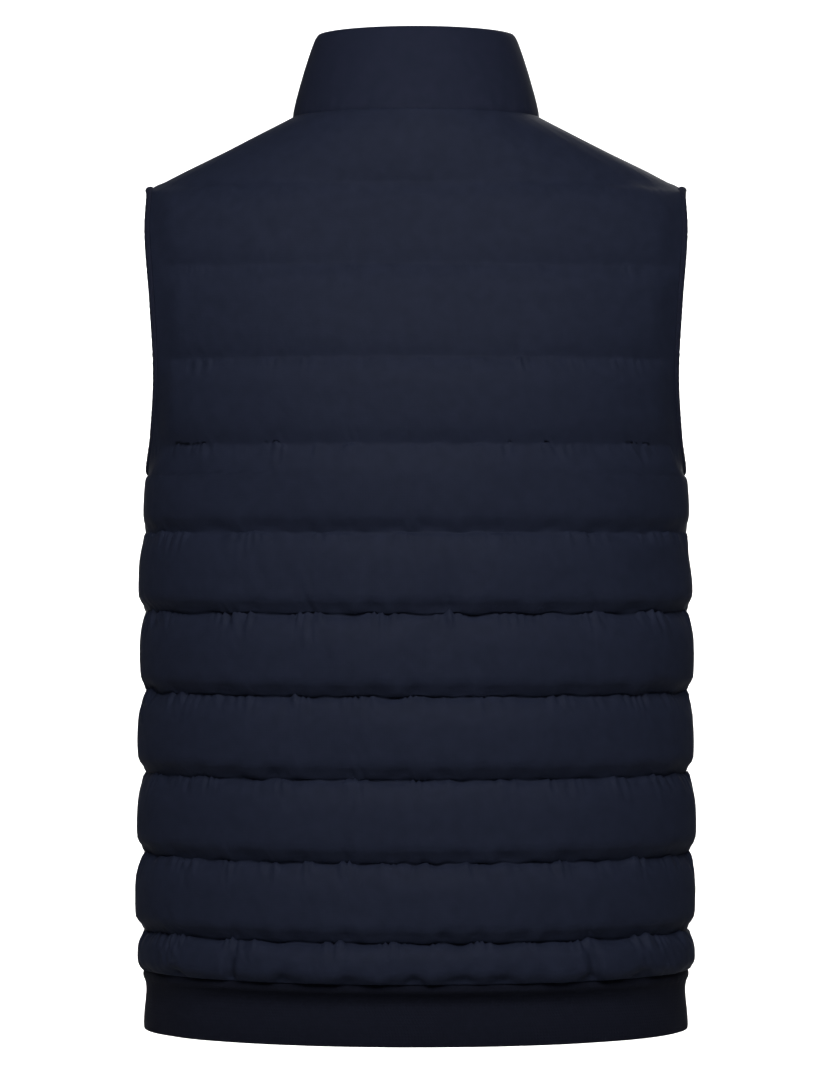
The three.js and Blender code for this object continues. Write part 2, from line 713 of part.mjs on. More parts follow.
// The slider: two plates over and under the chain, joined by a wedge at the top, and a bridge in front
// that the pull turns under. It is made about its own middle and leans with the collar's front edge.
function slider() {
  const { height, halfWidth, plate, wedge } = SLIDER;
  const width = 2 * halfWidth;
  const bridgeFront = BRIDGE_BACK - plate;
  const postDepth = PLATE_BACK - bridgeFront;
  const postMiddle = PLATE_BACK - postDepth / 2;
  const postAt = (BRIDGE.height - BRIDGE.post) / 2;
  const wedgeDepth = REAR_PLATE_FRONT - PLATE_BACK + 2 * plate;
  const wedgeMiddle = (PLATE_BACK + REAR_PLATE_FRONT) / 2;
  const parts = [
    block(width, plate, height, 0, REAR_PLATE_FRONT + plate / 2, 0),
    block(wedge, wedgeDepth, wedge, 0, wedgeMiddle, (height - wedge) / 2),
    block(BRIDGE.width, plate, BRIDGE.height, 0, bridgeFront + plate / 2, 0),
    block(BRIDGE.width, postDepth, BRIDGE.post, 0, postMiddle, postAt),
    block(BRIDGE.width, postDepth, BRIDGE.post, 0, postMiddle, -postAt),
  ];
  const frontPlate = block(width, plate, height, 0, PLATE_BACK - plate / 2, 0);
  return fromSolid(parts.reduce((whole, part) => whole.add(part), frontPlate));
}

// The pull: a flat tab whose upper bar passes under the bridge and turns there.
function zipPull() {
  const { length, halfWidth, thickness, bar, arm, corner, taper } = PULL;
  const outline = new THREE.Shape();
  outline.moveTo(-halfWidth + corner, -length);
  outline.lineTo(halfWidth - corner, -length);
  outline.quadraticCurveTo(halfWidth, -length, halfWidth, -length + corner);
  outline.lineTo(halfWidth - taper, bar / 2);
  outline.lineTo(-halfWidth + taper, bar / 2);
  outline.lineTo(-halfWidth, -length + corner);
  outline.quadraticCurveTo(-halfWidth, -length, -halfWidth + corner, -length);
  const eye = new THREE.Path();
  const eyeHalf = halfWidth - arm;
  const eyeBottom = -SLIDER.height / 2 - EYE_PAST_SLIDER;
  eye.moveTo(-eyeHalf, -bar / 2);
  eye.lineTo(eyeHalf, -bar / 2);
  eye.lineTo(eyeHalf, eyeBottom);
  eye.lineTo(-eyeHalf, eyeBottom);
  outline.holes.push(eye);
  const geometry = new THREE.ExtrudeGeometry(outline, {
    depth: thickness,
    bevelEnabled: false,
    curveSegments: 4,
  });
  return geometry.translate(0, 0, -thickness / 2).rotateX(Math.PI / 2);
}

// Materials
const FINISHES = {
  shell: { color: 0x1f222e, roughness: 0.62, metalness: 0 },
  collar: { color: 0x20232f, roughness: 0.64, metalness: 0 },
  band: { color: 0x1f202d, roughness: 0.9, metalness: 0 },
  binding: { color: 0x191c27, roughness: 0.8, metalness: 0 },
  tape: { color: 0x171923, roughness: 0.9, metalness: 0 },
  chain: { color: 0x14161d, roughness: 0.45, metalness: 0 },
  slider: { color: 0x26282e, roughness: 0.4, metalness: 1 },
};

function piece(name, finish, geometry) {
  const mesh = new THREE.Mesh(geometry, new THREE.MeshStandardMaterial(FINISHES[finish]));
  mesh.name = name;
  return mesh;
}

const vest = new THREE.Group();
vest.add(piece("back_panel", "shell", backPanel()));
vest.add(piece("collar", "collar", collar()));
vest.add(piece("hem_band", "band", hemBand()));
for (const [name, wearerSide] of [
  ["left", 1],
  ["right", -1],
]) {
  vest.add(piece("front_" + name, "shell", frontPanel(wearerSide)));
  vest.add(piece("armhole_binding_" + name, "binding", armholeBinding(wearerSide)));
  vest.add(piece("zip_tape_" + name, "tape", zipTape(wearerSide)));
}

const chainTop = SLIDER.drop - SLIDER.height / 2 + SLIDER.wedge + SEAM_GAP;
const boxTop = ZIP_BOTTOM - BOX_HEIGHT;
const chainEdges = evenEdges(CHAIN.halfWidth, CHAIN_BEHIND);
const boxEdges = evenEdges(CHAIN.halfWidth, CHAIN_BEHIND - BOX_EXTRA);
vest.add(piece("zip_chain", "chain", zipStrip(chainTop, boxTop - SEAM_GAP, chainEdges, CHAIN.thickness)));
vest.add(piece("zip_box", "slider", zipStrip(boxTop, ZIP_BOTTOM, boxEdges, CHAIN.thickness + 2 * BOX_EXTRA)));

// The slider leans with the collar's front edge, and the pull hangs plumb from its bridge.
const lean = new THREE.Group();
const rise = FRONT_NECK_DROP - COLLAR_TOP.frontDrop;
lean.position.set(0, -middleDepthAt(SLIDER.drop), -SLIDER.drop);
lean.rotation.x = Math.atan((COLLAR_TOP.front - middleDepthAt(FRONT_NECK_DROP)) / rise);
lean.add(piece("zip_slider", "slider", slider()));
vest.add(lean);
const pull = piece("zip_pull", "slider", zipPull());
pull.position.copy(vector(0, PULL_AXIS, 0).applyEuler(lean.rotation).add(lean.position));
vest.add(pull);

export default vest;
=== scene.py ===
# %% [markdown]
# A quilted vest, seen from behind and filled out as it is when worn. The CAD model gives every piece its
# size and place. This script makes the same pieces again as cloth: padded channels that pucker along
# their stitching, a soft collar, a jersey band at the hem, bound armholes and a zip with its teeth.

# %% Load the CAD model
import math
import bmesh
import bpy
import numpy as np
from mathutils import Matrix, Vector
from types import SimpleNamespace


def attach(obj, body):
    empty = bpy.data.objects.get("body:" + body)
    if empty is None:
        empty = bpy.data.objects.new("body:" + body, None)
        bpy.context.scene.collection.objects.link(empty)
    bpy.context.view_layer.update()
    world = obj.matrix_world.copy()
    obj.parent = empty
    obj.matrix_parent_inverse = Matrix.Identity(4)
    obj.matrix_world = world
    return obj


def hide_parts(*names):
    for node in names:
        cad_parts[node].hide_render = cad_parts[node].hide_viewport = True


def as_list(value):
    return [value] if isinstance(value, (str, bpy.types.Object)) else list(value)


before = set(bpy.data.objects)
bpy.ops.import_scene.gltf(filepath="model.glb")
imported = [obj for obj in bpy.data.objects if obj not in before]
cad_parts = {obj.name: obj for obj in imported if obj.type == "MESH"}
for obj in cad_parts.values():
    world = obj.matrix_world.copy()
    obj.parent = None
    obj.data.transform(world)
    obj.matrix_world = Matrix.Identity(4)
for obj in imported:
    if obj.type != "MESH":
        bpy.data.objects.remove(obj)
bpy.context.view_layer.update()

# %% [markdown]
# The photograph is taken from straight behind at about the height of the waist, so the camera stands on
# the +Y side and looks level along -Y. The curve of the hem and of the stitch lines gives its distance.

# %% Camera
CAMERA_DISTANCE = 3.3
CAMERA_HEIGHT = -0.3324
PIXELS_PER_METRE = 1280
IMAGE_HEIGHT = 1088
SENSOR = 36.0

camera_data = bpy.data.cameras.new("camera")
camera_data.sensor_width = SENSOR
camera_data.lens = PIXELS_PER_METRE * CAMERA_DISTANCE / IMAGE_HEIGHT * SENSOR
camera = bpy.data.objects.new("camera", camera_data)
camera.location = (0, CAMERA_DISTANCE, CAMERA_HEIGHT)
camera.rotation_euler = (math.radians(90), 0, math.radians(180))
bpy.context.collection.objects.link(camera)
bpy.context.scene.camera = camera
print("lens", round(camera_data.lens, 1))

# %% [markdown]
# A studio for a dark garment is mostly white, with a pale floor that curves up into the backdrop. The
# key light hangs over the camera and is wide, so that it reaches round both sides of the vest. It comes
# from above, which gives each channel a lit top and a dark underside, as in the photograph. The fill
# lights the front, and the third light is for the backdrop alone. Each shines within a narrow cone, so
# that the shoulders catch no pale rim from behind.

# %% Stage and light
FLOOR_DROP = 1.4
STAGE_HALF = 7.0
STAGE_CURVE = 1.2
STAGE_RISE = 0.6
LIGHT_SPREAD = 100
WORLD_STRENGTH = 0.02


def dim_world():
    """A nearly dark white world, because the lights and the backdrop do the lighting."""
    world = bpy.data.worlds.new("studio")
    world.use_nodes = True
    background = world.node_tree.nodes["Background"]
    background.inputs["Color"].default_value = (1, 1, 1, 1)
    background.inputs["Strength"].default_value = WORLD_STRENGTH
    bpy.context.scene.world = world


def soft_light(name, location, target, size, power):
    """A light panel, its size given as (width, height), that shines within LIGHT_SPREAD."""
    data = bpy.data.lights.new(name, "AREA")
    data.shape = "RECTANGLE"
    data.size, data.size_y = size
    data.energy = power
    data.spread = math.radians(LIGHT_SPREAD)
    light = bpy.data.objects.new(name, data)
    light.location = location
    light.rotation_euler = (Vector(target) - Vector(location)).to_track_quat("-Z", "Y").to_euler()
    bpy.context.collection.objects.link(light)


bpy.context.scene.view_settings.view_transform = "Standard"
dim_world()
soft_light("key", (0, 2.3, 1.3), (0, 0, -0.1), (2.8, 1.4), 43)
soft_light("fill", (-0.6, -3.4, 1.4), (0, 0, -0.33), (2.2, 2.2), 16)
soft_light("backdrop", (0, -2.2, 1.6), (0, -6.5, -0.4), (3.0, 3.0), 150)


def pale_floor():
    """A level floor whose far edge on every side is bent up into a wall."""
    bm = bmesh.new()
    bmesh.ops.create_grid(bm, x_segments=60, y_segments=60, size=STAGE_HALF)
    for vert in bm.verts:
        reach = math.hypot(vert.co.x, vert.co.y)
        past = max(0.0, reach - (STAGE_HALF - 2 * STAGE_CURVE))
        vert.co.z = -FLOOR_DROP + STAGE_RISE * past**2
    mesh = bpy.data.meshes.new("floor")
    bm.to_mesh(mesh)
    bm.free()
    mesh.shade_smooth()
    floor = bpy.data.objects.new("floor", mesh)
    bpy.context.collection.objects.link(floor)
    return floor


floor = pale_floor()
print("floor", FLOOR_DROP, "m below the neck points")

# %% [markdown]
# Every fabric and fitting gets a node material. One helper adds a node with its settings and its inputs,
# which are either values or the output of another node. Colours are written as sRGB hex values, as one
# reads them from a picture, and one function turns them to the linear values that Blender wants. The
# cloth's colour is two close tones of one dye, and its relief is layers of bump, a coarse one first.

# %% Helpers for materials
MM = 0.001


def linear(hex_colour):
    parts = [int(hex_colour[i : i + 2], 16) / 255 for i in (0, 2, 4)]
    return tuple(c / 12.92 if c <= 0.04045 else ((c + 0.055) / 1.055) ** 2.4 for c in parts) + (1.0,)


def add(tree, kind, inputs=None, **settings):
    node = tree.nodes.new(kind)
    for name, value in settings.items():
        setattr(node, name, value)
    for name, value in (inputs or {}).items():
        if isinstance(value, bpy.types.NodeSocket):
            tree.links.new(value, node.inputs[name])
        else:
            node.inputs[name].default_value = value
    return node


def new_material(name, **shader_values):
    """A material with the shader's constant values set on its own sockets."""
    material = bpy.data.materials.new(name)
    material.use_nodes = True
    tree = material.node_tree
    shader = tree.nodes["Principled BSDF"]
    for key, value in shader_values.items():
        shader.inputs[key.replace("_", " ")].default_value = value
    return material, tree, shader


def mottle(tree, size_mm, detail=3.0):
    """A soft unevenness of a given size, on Object coordinates."""
    place = add(tree, "ShaderNodeTexCoord").outputs["Object"]
    inputs = {"Vector": place, "Scale": 1 / (size_mm * MM), "Detail": detail}
    return add(tree, "ShaderNodeTexNoise", inputs).outputs["Fac"]


def dye(tree, shader, pattern, dark, light, ends=(0.3, 0.7)):
    """Colours the shader dark where the pattern is below the first end and light above the second."""
    ramp = add(tree, "ShaderNodeValToRGB", {"Fac": pattern})
    for element, place, colour in zip(ramp.color_ramp.elements, ends, (dark, light)):
        element.position = place
        element.color = linear(colour)
    tree.links.new(ramp.outputs["Color"], shader.inputs["Base Color"])


def relief(tree, shader, *layers):
    """Gives the shader a bump for each layer, a height and its depth in mm, each on the one before."""
    before = {}
    for height, depth_mm in layers:
        inputs = {"Height": height, "Strength": 1.0, "Distance": depth_mm * MM, **before}
        before = {"Normal": add(tree, "ShaderNodeBump", inputs).outputs["Normal"]}
    tree.links.new(before["Normal"], shader.inputs["Normal"])


PAPER = new_material("matt white backdrop paper", Roughness=0.9, Base_Color=linear("f4f4f4"))[0]
floor.data.materials.append(PAPER)
print("floor of", PAPER.name)

# %% [markdown]
# The shell is a light plain-woven nylon with a matt, dyed face. Its threads are about a fifth of a
# millimetre apart, finer than the picture shows, so the weave is drawn three times coarser and very
# shallow. It is rough and has next to no gloss, and a crinkle 5 mm across breaks up the light a little.
# The collar is the same cloth, a shade darker and rougher, since no filling pulls it tight.


# %% Shell nylon
# A wave texture with a scale of 1 repeats its bands at this length.
BAND_UNIT = math.pi / 10


def woven(tree, threads_mm):
    """A plain weave's height from two sets of waves along the piece's own UV map, which is in metres."""
    uv = add(tree, "ShaderNodeUVMap", uv_map="cloth").outputs["UV"]
    scale = BAND_UNIT / (2 * threads_mm * MM)
    inputs = {"Vector": uv, "Scale": scale, "Distortion": 0.6, "Detail": 1.0}
    warp, weft = (
        add(tree, "ShaderNodeTexWave", inputs, wave_type="BANDS", bands_direction=direction).outputs["Fac"]
        for direction in "XY"
    )
    return add(tree, "ShaderNodeMath", {0: warp, 1: weft}, operation="MULTIPLY").outputs[0]


def nylon(name, dark, light, roughness):
    material, tree, shader = new_material(name, Roughness=roughness, IOR=1.53, Specular_IOR_Level=0.04)
    dye(tree, shader, mottle(tree, 9), dark, light)
    relief(tree, shader, (mottle(tree, 5), 0.14), (woven(tree, 0.6), 0.03))
    return material


SHELL = nylon("plain-woven nylon shell", "161a27", "191d2b", 0.68)
COLLAR_CLOTH = nylon("plain-woven nylon collar", "151926", "181b29", 0.72)
print("shell nodes", len(SHELL.node_tree.nodes))

# %% [markdown]
# The band is a fine jersey, folded double. Jersey has no gloss, only a faint bloom at grazing angles
# from the ends of its fibres, and here it is darker than the nylon. Its wales are drawn 1.2 mm apart,
# about twice as coarse as they are. The binding and the zip tapes are drawn the same way, finer.


# %% Band jersey, binding and zip tape
def knitted(name, dark, light, wale_mm, depth_mm, sheen):
    material, tree, shader = new_material(
        name,
        Roughness=0.92,
        IOR=1.5,
        Specular_IOR_Level=0.06,
        Sheen_Weight=sheen,
        Sheen_Roughness=0.6,
        Sheen_Tint=linear("9a97b4"),
    )
    dye(tree, shader, mottle(tree, 3, 5.0), dark, light)
    fuzz = mottle(tree, 0.8, 4.0)
    relief(tree, shader, (fuzz, depth_mm), (woven(tree, wale_mm), depth_mm))
    return material


JERSEY = knitted("fine jersey band", "0b0d16", "0e101a", 1.2, 0.12, 0.01)
BINDING = knitted("folded elastic binding", "10121d", "151825", 0.9, 0.1, 0.03)
TAPE = knitted("woven polyester zip tape", "101218", "14161f", 0.8, 0.08, 0.03)
print("jersey nodes", len(JERSEY.node_tree.nodes))

# %% [markdown]
# The zip's teeth are moulded from acetal, a hard plastic with a satin skin. The slider, the pull and the
# end box are die-cast zinc under a dark lacquer, which gives a dull metal gloss with a clear coat on it.
# The grain of both is finer than a picture shows, and is drawn about half a millimetre across.


# %% Zip teeth and slider
def acetal():
    material, tree, shader = new_material("moulded acetal teeth", Roughness=0.38, IOR=1.48)
    dye(tree, shader, mottle(tree, 2.0), "12141b", "191c25", (0.35, 0.65))
    relief(tree, shader, (mottle(tree, 0.5), 0.02))
    return material


def lacquered_zinc():
    material, tree, shader = new_material(
        "lacquered die-cast zinc", Metallic=1.0, Coat_Weight=0.3, Coat_Roughness=0.22
    )
    dye(tree, shader, mottle(tree, 1.5), "24262c", "2e3037", (0.35, 0.65))
    grain = mottle(tree, 0.4, 5.0)
    rough = add(tree, "ShaderNodeMapRange", {"Value": grain, "To Min": 0.28, "To Max": 0.42})
    tree.links.new(rough.outputs["Result"], shader.inputs["Roughness"])
    relief(tree, shader, (grain, 0.015))
    return material


ACETAL = acetal()
ZINC = lacquered_zinc()
print("materials", len(bpy.data.materials))

# %% [markdown]
# The body's form is a stack of level ellipses. The table gives them at the depth of the stitching, in
# millimetres below the neck points: half the width, and how deep the back and the front are. A second
# table says how far round its ellipse each panel turns; from the chest down it is the turn at which the
# armhole cuts the whole ellipse off. Between its rows a table is read along a smooth curve.


# %% The body's sizes
def table(columns, *rows):
    return {name: np.array(values, float) for name, values in zip(columns.split(), zip(*rows))}


SECTIONS = table(
    "drop half_width back front",
    (0, 96.5, 83, 24),
    (20, 136, 88, 42),
    (54, 205, 94, 70),
    (90, 205.5, 102, 94),
    (147, 201, 117, 119),
    (203, 199, 129, 133),
    (250, 203, 134, 139),
    (280, 208.5, 136, 140),
    (343, 211.5, 137, 139),
    (448, 210, 137, 137),
    (568, 212, 136, 134),
    (663, 211.5, 135, 131),
    (710, 212.5, 135, 130),
)
TURNS = table(
    "drop back front",
    (0, 90, 90),
    (20, 84, 84),
    (54, 70, 72),
    (90, 63, 64),
    (147, 60, 60),
    (203, 63, 62),
)
CHEST = (147, 203)
# The stitch line under each channel, how far the filling puffs out and how slack the cloth is there.
CHANNELS = table(
    "drop puff slack",
    (58, 3.5, 0.012),
    (121, 4.5, 0.015),
    (192, 5, 0.02),
    (257.5, 5.5, 0.025),
    (324, 6.5, 0.03),
    (385.6, 8, 0.035),
    (447.8, 8.5, 0.035),
    (510, 8.5, 0.035),
    (572.4, 8.5, 0.035),
    (632.4, 8.5, 0.035),
    (663, 8.5, 0.06),
)
WALL = 4
SEAM_GAP = 0.3
NECK_HALF_WIDTH = 96.5
FRONT_NECK_DROP = 80
SHOULDER_OUT = 205
SHOULDER_DROP = 54
ARMPIT_DROP = 280
ARMHOLE_MIDDLE = (SHOULDER_DROP + ARMPIT_DROP) / 2
BODY_DROP = 663
HEM_DROP = 710
FRONT_OPENING = 10
# Powers that bow the shoulder line and the front neckline, and round off the armhole's outline.
SHOULDER_BOW = 1.06
NECK_BOW = 1.25
ARMHOLE_ROUNDING = 0.44
# A length round the body, in millimetres, is about this many times the angle in radians.
MEAN_RADIUS = 175
# The cloth from the middle to a side is about this many times as long as the body's half width.
ROUND_THE_SIDE = 1.2
SIDES = {
    "back": {"facing": 1, "column": "back", "armhole": 56},
    "front": {"facing": -1, "column": "front", "armhole": 70},
}


def read_table(rows, column, drop, first=0):
    """A column's value at each drop, on a smooth curve through the rows."""
    x, y = rows["drop"][first:], rows[column][first:]
    slope = np.gradient(y, x, edge_order=1)
    slope[1:-1] = (y[2:] - y[:-2]) / (x[2:] - x[:-2])
    i = np.clip(np.searchsorted(x, drop) - 1, 0, len(x) - 2)
    span = x[i + 1] - x[i]
    t = (drop - x[i]) / span
    rise = t * t * (3 - 2 * t)
    bend = t * (1 - t) ** 2 * slope[i] - t * t * (1 - t) * slope[i + 1]
    return y[i] * (1 - rise) + y[i + 1] * rise + span * bend


def smooth(share):
    share = np.clip(share, 0, 1)
    return share * share * (3 - 2 * share)


def half_width_at(drop):
    along = np.clip(drop, 0, SHOULDER_DROP) / SHOULDER_DROP
    shoulder = NECK_HALF_WIDTH + (SHOULDER_OUT - NECK_HALF_WIDTH) * along**SHOULDER_BOW
    side = read_table(SECTIONS, "half_width", np.maximum(drop, SHOULDER_DROP), first=2)
    return np.where(drop < SHOULDER_DROP, shoulder, side)


def armhole_depth_at(drop, deepest):
    half = (ARMPIT_DROP - SHOULDER_DROP) / 2
    level = (drop - SHOULDER_DROP - half) / half
    return deepest * np.maximum(0, 1 - level * level) ** ARMHOLE_ROUNDING


def turn_at(side, drop):
    """How far round the body a panel reaches at each drop."""
    above = np.radians(np.clip(read_table(TURNS, side["column"], np.minimum(drop, CHEST[1])), 0, 90))
    edge = armhole_depth_at(drop, side["armhole"])
    below = np.arccos(edge / read_table(SECTIONS, side["column"], drop))
    share = smooth((drop - CHEST[0]) / (CHEST[1] - CHEST[0]))
    return above + (below - above) * share


def body_point(side, drop, angle):
    """Points on the body's surface, in millimetres, for arrays of drops and angles."""
    turn = turn_at(side, drop)
    edge = armhole_depth_at(drop, side["armhole"])
    depth = read_table(SECTIONS, side["column"], drop)
    across = half_width_at(drop) * np.sin(angle) / np.sin(turn)
    share = (np.cos(angle) - np.cos(turn)) / (1 - np.cos(turn))
    along = side["facing"] * (edge + (depth - edge) * share)
    return np.stack([across, along, -drop + 0 * across], axis=-1)


def unit(vectors):
    return vectors / np.linalg.norm(vectors, axis=-1, keepdims=True)


def outward(side, drop, angle):
    """The direction out of the cloth. It turns into the plane of the side and shoulder seams."""
    step, tilt = 0.5, 0.004
    inside_height, seam_reach = 60, 14
    down = body_point(side, drop + step, angle) - body_point(side, np.maximum(drop - step, 0), angle)
    around = body_point(side, drop, angle + tilt) - body_point(side, drop, angle - tilt)
    point = body_point(side, drop, angle)
    from_inside = np.stack([point[..., 0], point[..., 1], inside_height + 0 * point[..., 2]], axis=-1)
    out = np.cross(around, down)
    out *= np.where(np.sum(out * from_inside, axis=-1) < 0, -1, 1)[..., None]
    out = unit(out)
    out[..., 1] *= smooth(np.abs(point[..., 1]) / seam_reach)
    return unit(out)


def angle_across(side, drop, across):
    """The angle at which a panel lies a given distance from the middle."""
    share = across / half_width_at(drop) * np.sin(turn_at(side, drop))
    return np.arcsin(np.clip(share, -1, 1))


print("body", round(float(half_width_at(np.float64(448)) * 2)), "mm wide at the waist")

# %% [markdown]
# Filling pushes the shell out between two stitch lines. The upper channels are thin and their lines are
# soft; the lower ones are full, so each bulges over the line under it and leaves a dark fold there. The
# form of a channel is an arch with a flat middle, and it falls back quickly to the line at both ends.


# %% Waves and channels
WAVE_COUNT = 5
WAVE_SPREAD = 0.45
WAVE_PEAK = 1.6


def waves(along, spacing, seed):
    """An uneven wave of about the given spacing, mostly between -1 and 1, the same on every run."""
    rng = np.random.default_rng(seed)
    total = np.zeros_like(along)
    for _ in range(WAVE_COUNT):
        length = spacing * rng.uniform(1 - WAVE_SPREAD, 1 + WAVE_SPREAD)
        total += np.sin(2 * math.pi * along / length + rng.uniform(0, 2 * math.pi))
    return total / WAVE_COUNT**0.5 / WAVE_PEAK


def channel_at(drop):
    """The channel that each drop lies in, and how far down the channel it is, from 0 to 1."""
    index = np.clip(np.searchsorted(CHANNELS["drop"], drop - 1e-6), 0, len(CHANNELS["drop"]) - 1)
    top = np.where(index == 0, 0, CHANNELS["drop"][np.maximum(index - 1, 0)])
    return index, np.clip((drop - top) / (CHANNELS["drop"][index] - top), 0, 1)


def fullness_at(drop):
    """0 in the thin channels at the shoulders, 1 in the full ones from the waist down."""
    return smooth((drop - 230) / 150)


print("channels", len(CHANNELS["drop"]))

# %% [markdown]
# A worn vest has a few large creases, where the arms pull at it and above the hem. They are listed one by
# one, each as a soft groove that runs along its tilt. A crease takes only a part of the filling away.

# %% Puff and creases
# The largest creases, in millimetres and degrees, for each side of the vest.
CREASES = {
    "back": table(
        "across drop run tilt depth spread",
        (-18, 386, 34, 70, 2.6, 13),
        (-196, 345, 40, 25, 2.4, 14),
        (186, 262, 36, -35, 2.2, 14),
        (137, 650, 16, 82, 4, 4),
        (-130, 648, 14, -80, 4, 4),
    ),
    "front": table(
        "across drop run tilt depth spread",
        (168, 300, 44, 30, 2.4, 14),
        (-172, 312, 40, -28, 2.2, 14),
        (60, 520, 30, 75, 2.4, 13),
    ),
}


def crease_depth(rows, across, drop):
    depth = np.zeros_like(across)
    for i, tilt in enumerate(np.radians(rows["tilt"])):
        aside, below = across - rows["across"][i], drop - rows["drop"][i]
        along = aside * math.cos(tilt) + below * math.sin(tilt)
        off = below * math.cos(tilt) - aside * math.sin(tilt)
        groove = np.exp(-((along / rows["run"][i]) ** 2) - (off / rows["spread"][i]) ** 2)
        depth += rows["depth"][i] * groove
    return depth


def puff(side_name, across, drop, edge_share):
    """How far the shell stands out, in millimetres. edge_share fades it towards the panel's edges."""
    index, share = channel_at(drop)
    fullness = fullness_at(drop)
    sunk = share ** (1.05 + 0.15 * fullness)
    arch = (1 - np.abs(2 * sunk - 1) ** (2.2 + 0.9 * fullness)).clip(0, 1) ** (0.92 - 0.3 * fullness)
    uneven = 1 + 0.09 * np.sin(across / 37 + 3.1 * index) + 0.06 * np.sin(across / 17 + index)
    full = CHANNELS["puff"][index] * arch * uneven
    crease = np.minimum(crease_depth(CREASES[side_name], across, drop) * arch, 0.6 * full)
    return np.maximum(full * edge_share - crease, 0)


print("creases", sum(len(rows["drop"]) for rows in CREASES.values()))

# %% [markdown]
# Every sheet starts as one of Blender's flat grids, whose points are then laid where the cloth runs. A
# grid keeps its rows and columns, so the weave can follow it: each point's flat place, in metres, goes
# to a UV map named cloth.


# %% Grids of cloth
def grid_mesh(bm, rows, columns):
    """Adds a flat unit grid and returns its vertices as an array of rows and columns."""
    known = len(bm.verts)
    bmesh.ops.create_grid(bm, x_segments=columns - 1, y_segments=rows - 1, size=0.5)
    bm.verts.ensure_lookup_table()
    fresh = sorted(bm.verts[known:], key=lambda v: (-round(v.co.y, 6), round(v.co.x, 6)))
    return np.array(fresh, dtype=object).reshape(rows, columns)


def place(verts, points_mm):
    """Lays a grid's vertices at points given in millimetres."""
    for vert, point in zip(verts.ravel(), points_mm.reshape(-1, 3)):
        vert.co = Vector(point * MM)


def arc_lengths(points, axis):
    steps = np.linalg.norm(np.diff(points, axis=axis), axis=-1)
    start = np.zeros_like(np.take(steps, [0], axis=axis))
    return np.concatenate([start, np.cumsum(steps, axis=axis)], axis=axis)


def lay_uv(bm, verts, across, down):
    """Writes each vertex's flat place, given in millimetres, to the UV map."""
    layer = bm.loops.layers.uv.get("cloth") or bm.loops.layers.uv.new("cloth")
    for vert, u, v in zip(verts.ravel(), across.ravel() * MM, down.ravel() * MM):
        for loop in vert.link_loops:
            loop[layer].uv = (u, v)


def finish_mesh(bm, name, material):
    """Makes the object from a bmesh, shaded smooth, with one material."""
    mesh = bpy.data.meshes.new(name)
    bm.to_mesh(mesh)
    bm.free()
    mesh.shade_smooth()
    mesh.materials.append(material)
    piece = bpy.data.objects.new(name, mesh)
    bpy.context.collection.objects.link(piece)
    return piece


def hand_over(piece, node, body="garment"):
    """The piece stands for its CAD node, which it hides, and moves with its body."""
    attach(piece, body)
    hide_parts(node)
    return piece


# %% [markdown]
# Padded cloth gets its swelling from Blender's cloth solver. The stitch lines and edges are pinned, the
# sheet is made a few per cent larger than the lines it is sewn to, and pressure stands in for the
# filling. The spare width has nowhere to go but into wrinkles, as on a real panel. Gravity is off,
# because on a worn vest the filling holds the form. The solver's result is read as moves of the points.

# %% The cloth solver
SIM_FRAMES = 20
FILL_PRESSURE = 1.5
MOST_SWELLING = 4.0


def settle(piece, pinned, slack):
    """The sheet's points, in millimetres, after it has swelled. None moves past MOST_SWELLING."""
    mesh = piece.data
    start = np.empty(len(mesh.vertices) * 3)
    mesh.vertices.foreach_get("co", start)
    start = start.reshape(-1, 3)
    pins = piece.vertex_groups.new(name="pins")
    pins.add([int(i) for i in np.flatnonzero(pinned)], 1.0, "REPLACE")
    spare = piece.vertex_groups.new(name="spare")
    for level in np.unique(slack):
        here = [int(i) for i in np.flatnonzero(slack == level)]
        spare.add(here, float(level / slack.max()), "REPLACE")

    modifier = piece.modifiers.new("cloth", "CLOTH")
    cloth = modifier.settings
    cloth.quality = 5
    cloth.mass = 0.2
    cloth.air_damping = 2
    cloth.tension_stiffness = 18
    cloth.compression_stiffness = 18
    cloth.shear_stiffness = 6
    cloth.bending_stiffness = 0.02
    cloth.vertex_group_mass = "pins"
    cloth.use_pressure = True
    cloth.uniform_pressure_force = FILL_PRESSURE
    cloth.vertex_group_shrink = "spare"
    cloth.shrink_min = 0
    cloth.shrink_max = -float(slack.max())
    cloth.effector_weights.gravity = 0
    modifier.collision_settings.use_collision = False
    modifier.point_cache.frame_end = SIM_FRAMES
    for step in range(1, SIM_FRAMES + 1):
        bpy.context.scene.frame_set(step)

    solved = piece.evaluated_get(bpy.context.evaluated_depsgraph_get()).to_mesh()
    moved = np.empty(len(solved.vertices) * 3)
    solved.vertices.foreach_get("co", moved)
    moved = moved.reshape(-1, 3) - start
    bpy.context.scene.frame_set(1)
    length = np.linalg.norm(moved, axis=1)
    most = MOST_SWELLING * MM
    moved *= (most * np.tanh(length / most) / np.maximum(length, 1e-9))[:, None]
    return (start + moved) / MM


print("cloth solver", SIM_FRAMES, "frames")

# %% [markdown]
# Each quilted panel is solved on a grid of about 3.5 mm and refined to half of that, which leaves room
# for the smallest puckers. The solver works best on even rows. The round ends of the armhole need rows of
# their own, which are put in afterwards, and the swelling is carried over to them.

# %% Rows of the grid
ROWS_A_CHANNEL = 9
LEAST_ROW_GAP = 2.4
# Rows, in millimetres of drop, that follow the round ends of the armhole.
ARMHOLE_ROWS = np.array([54, 266, 271, 275, 278, 280])


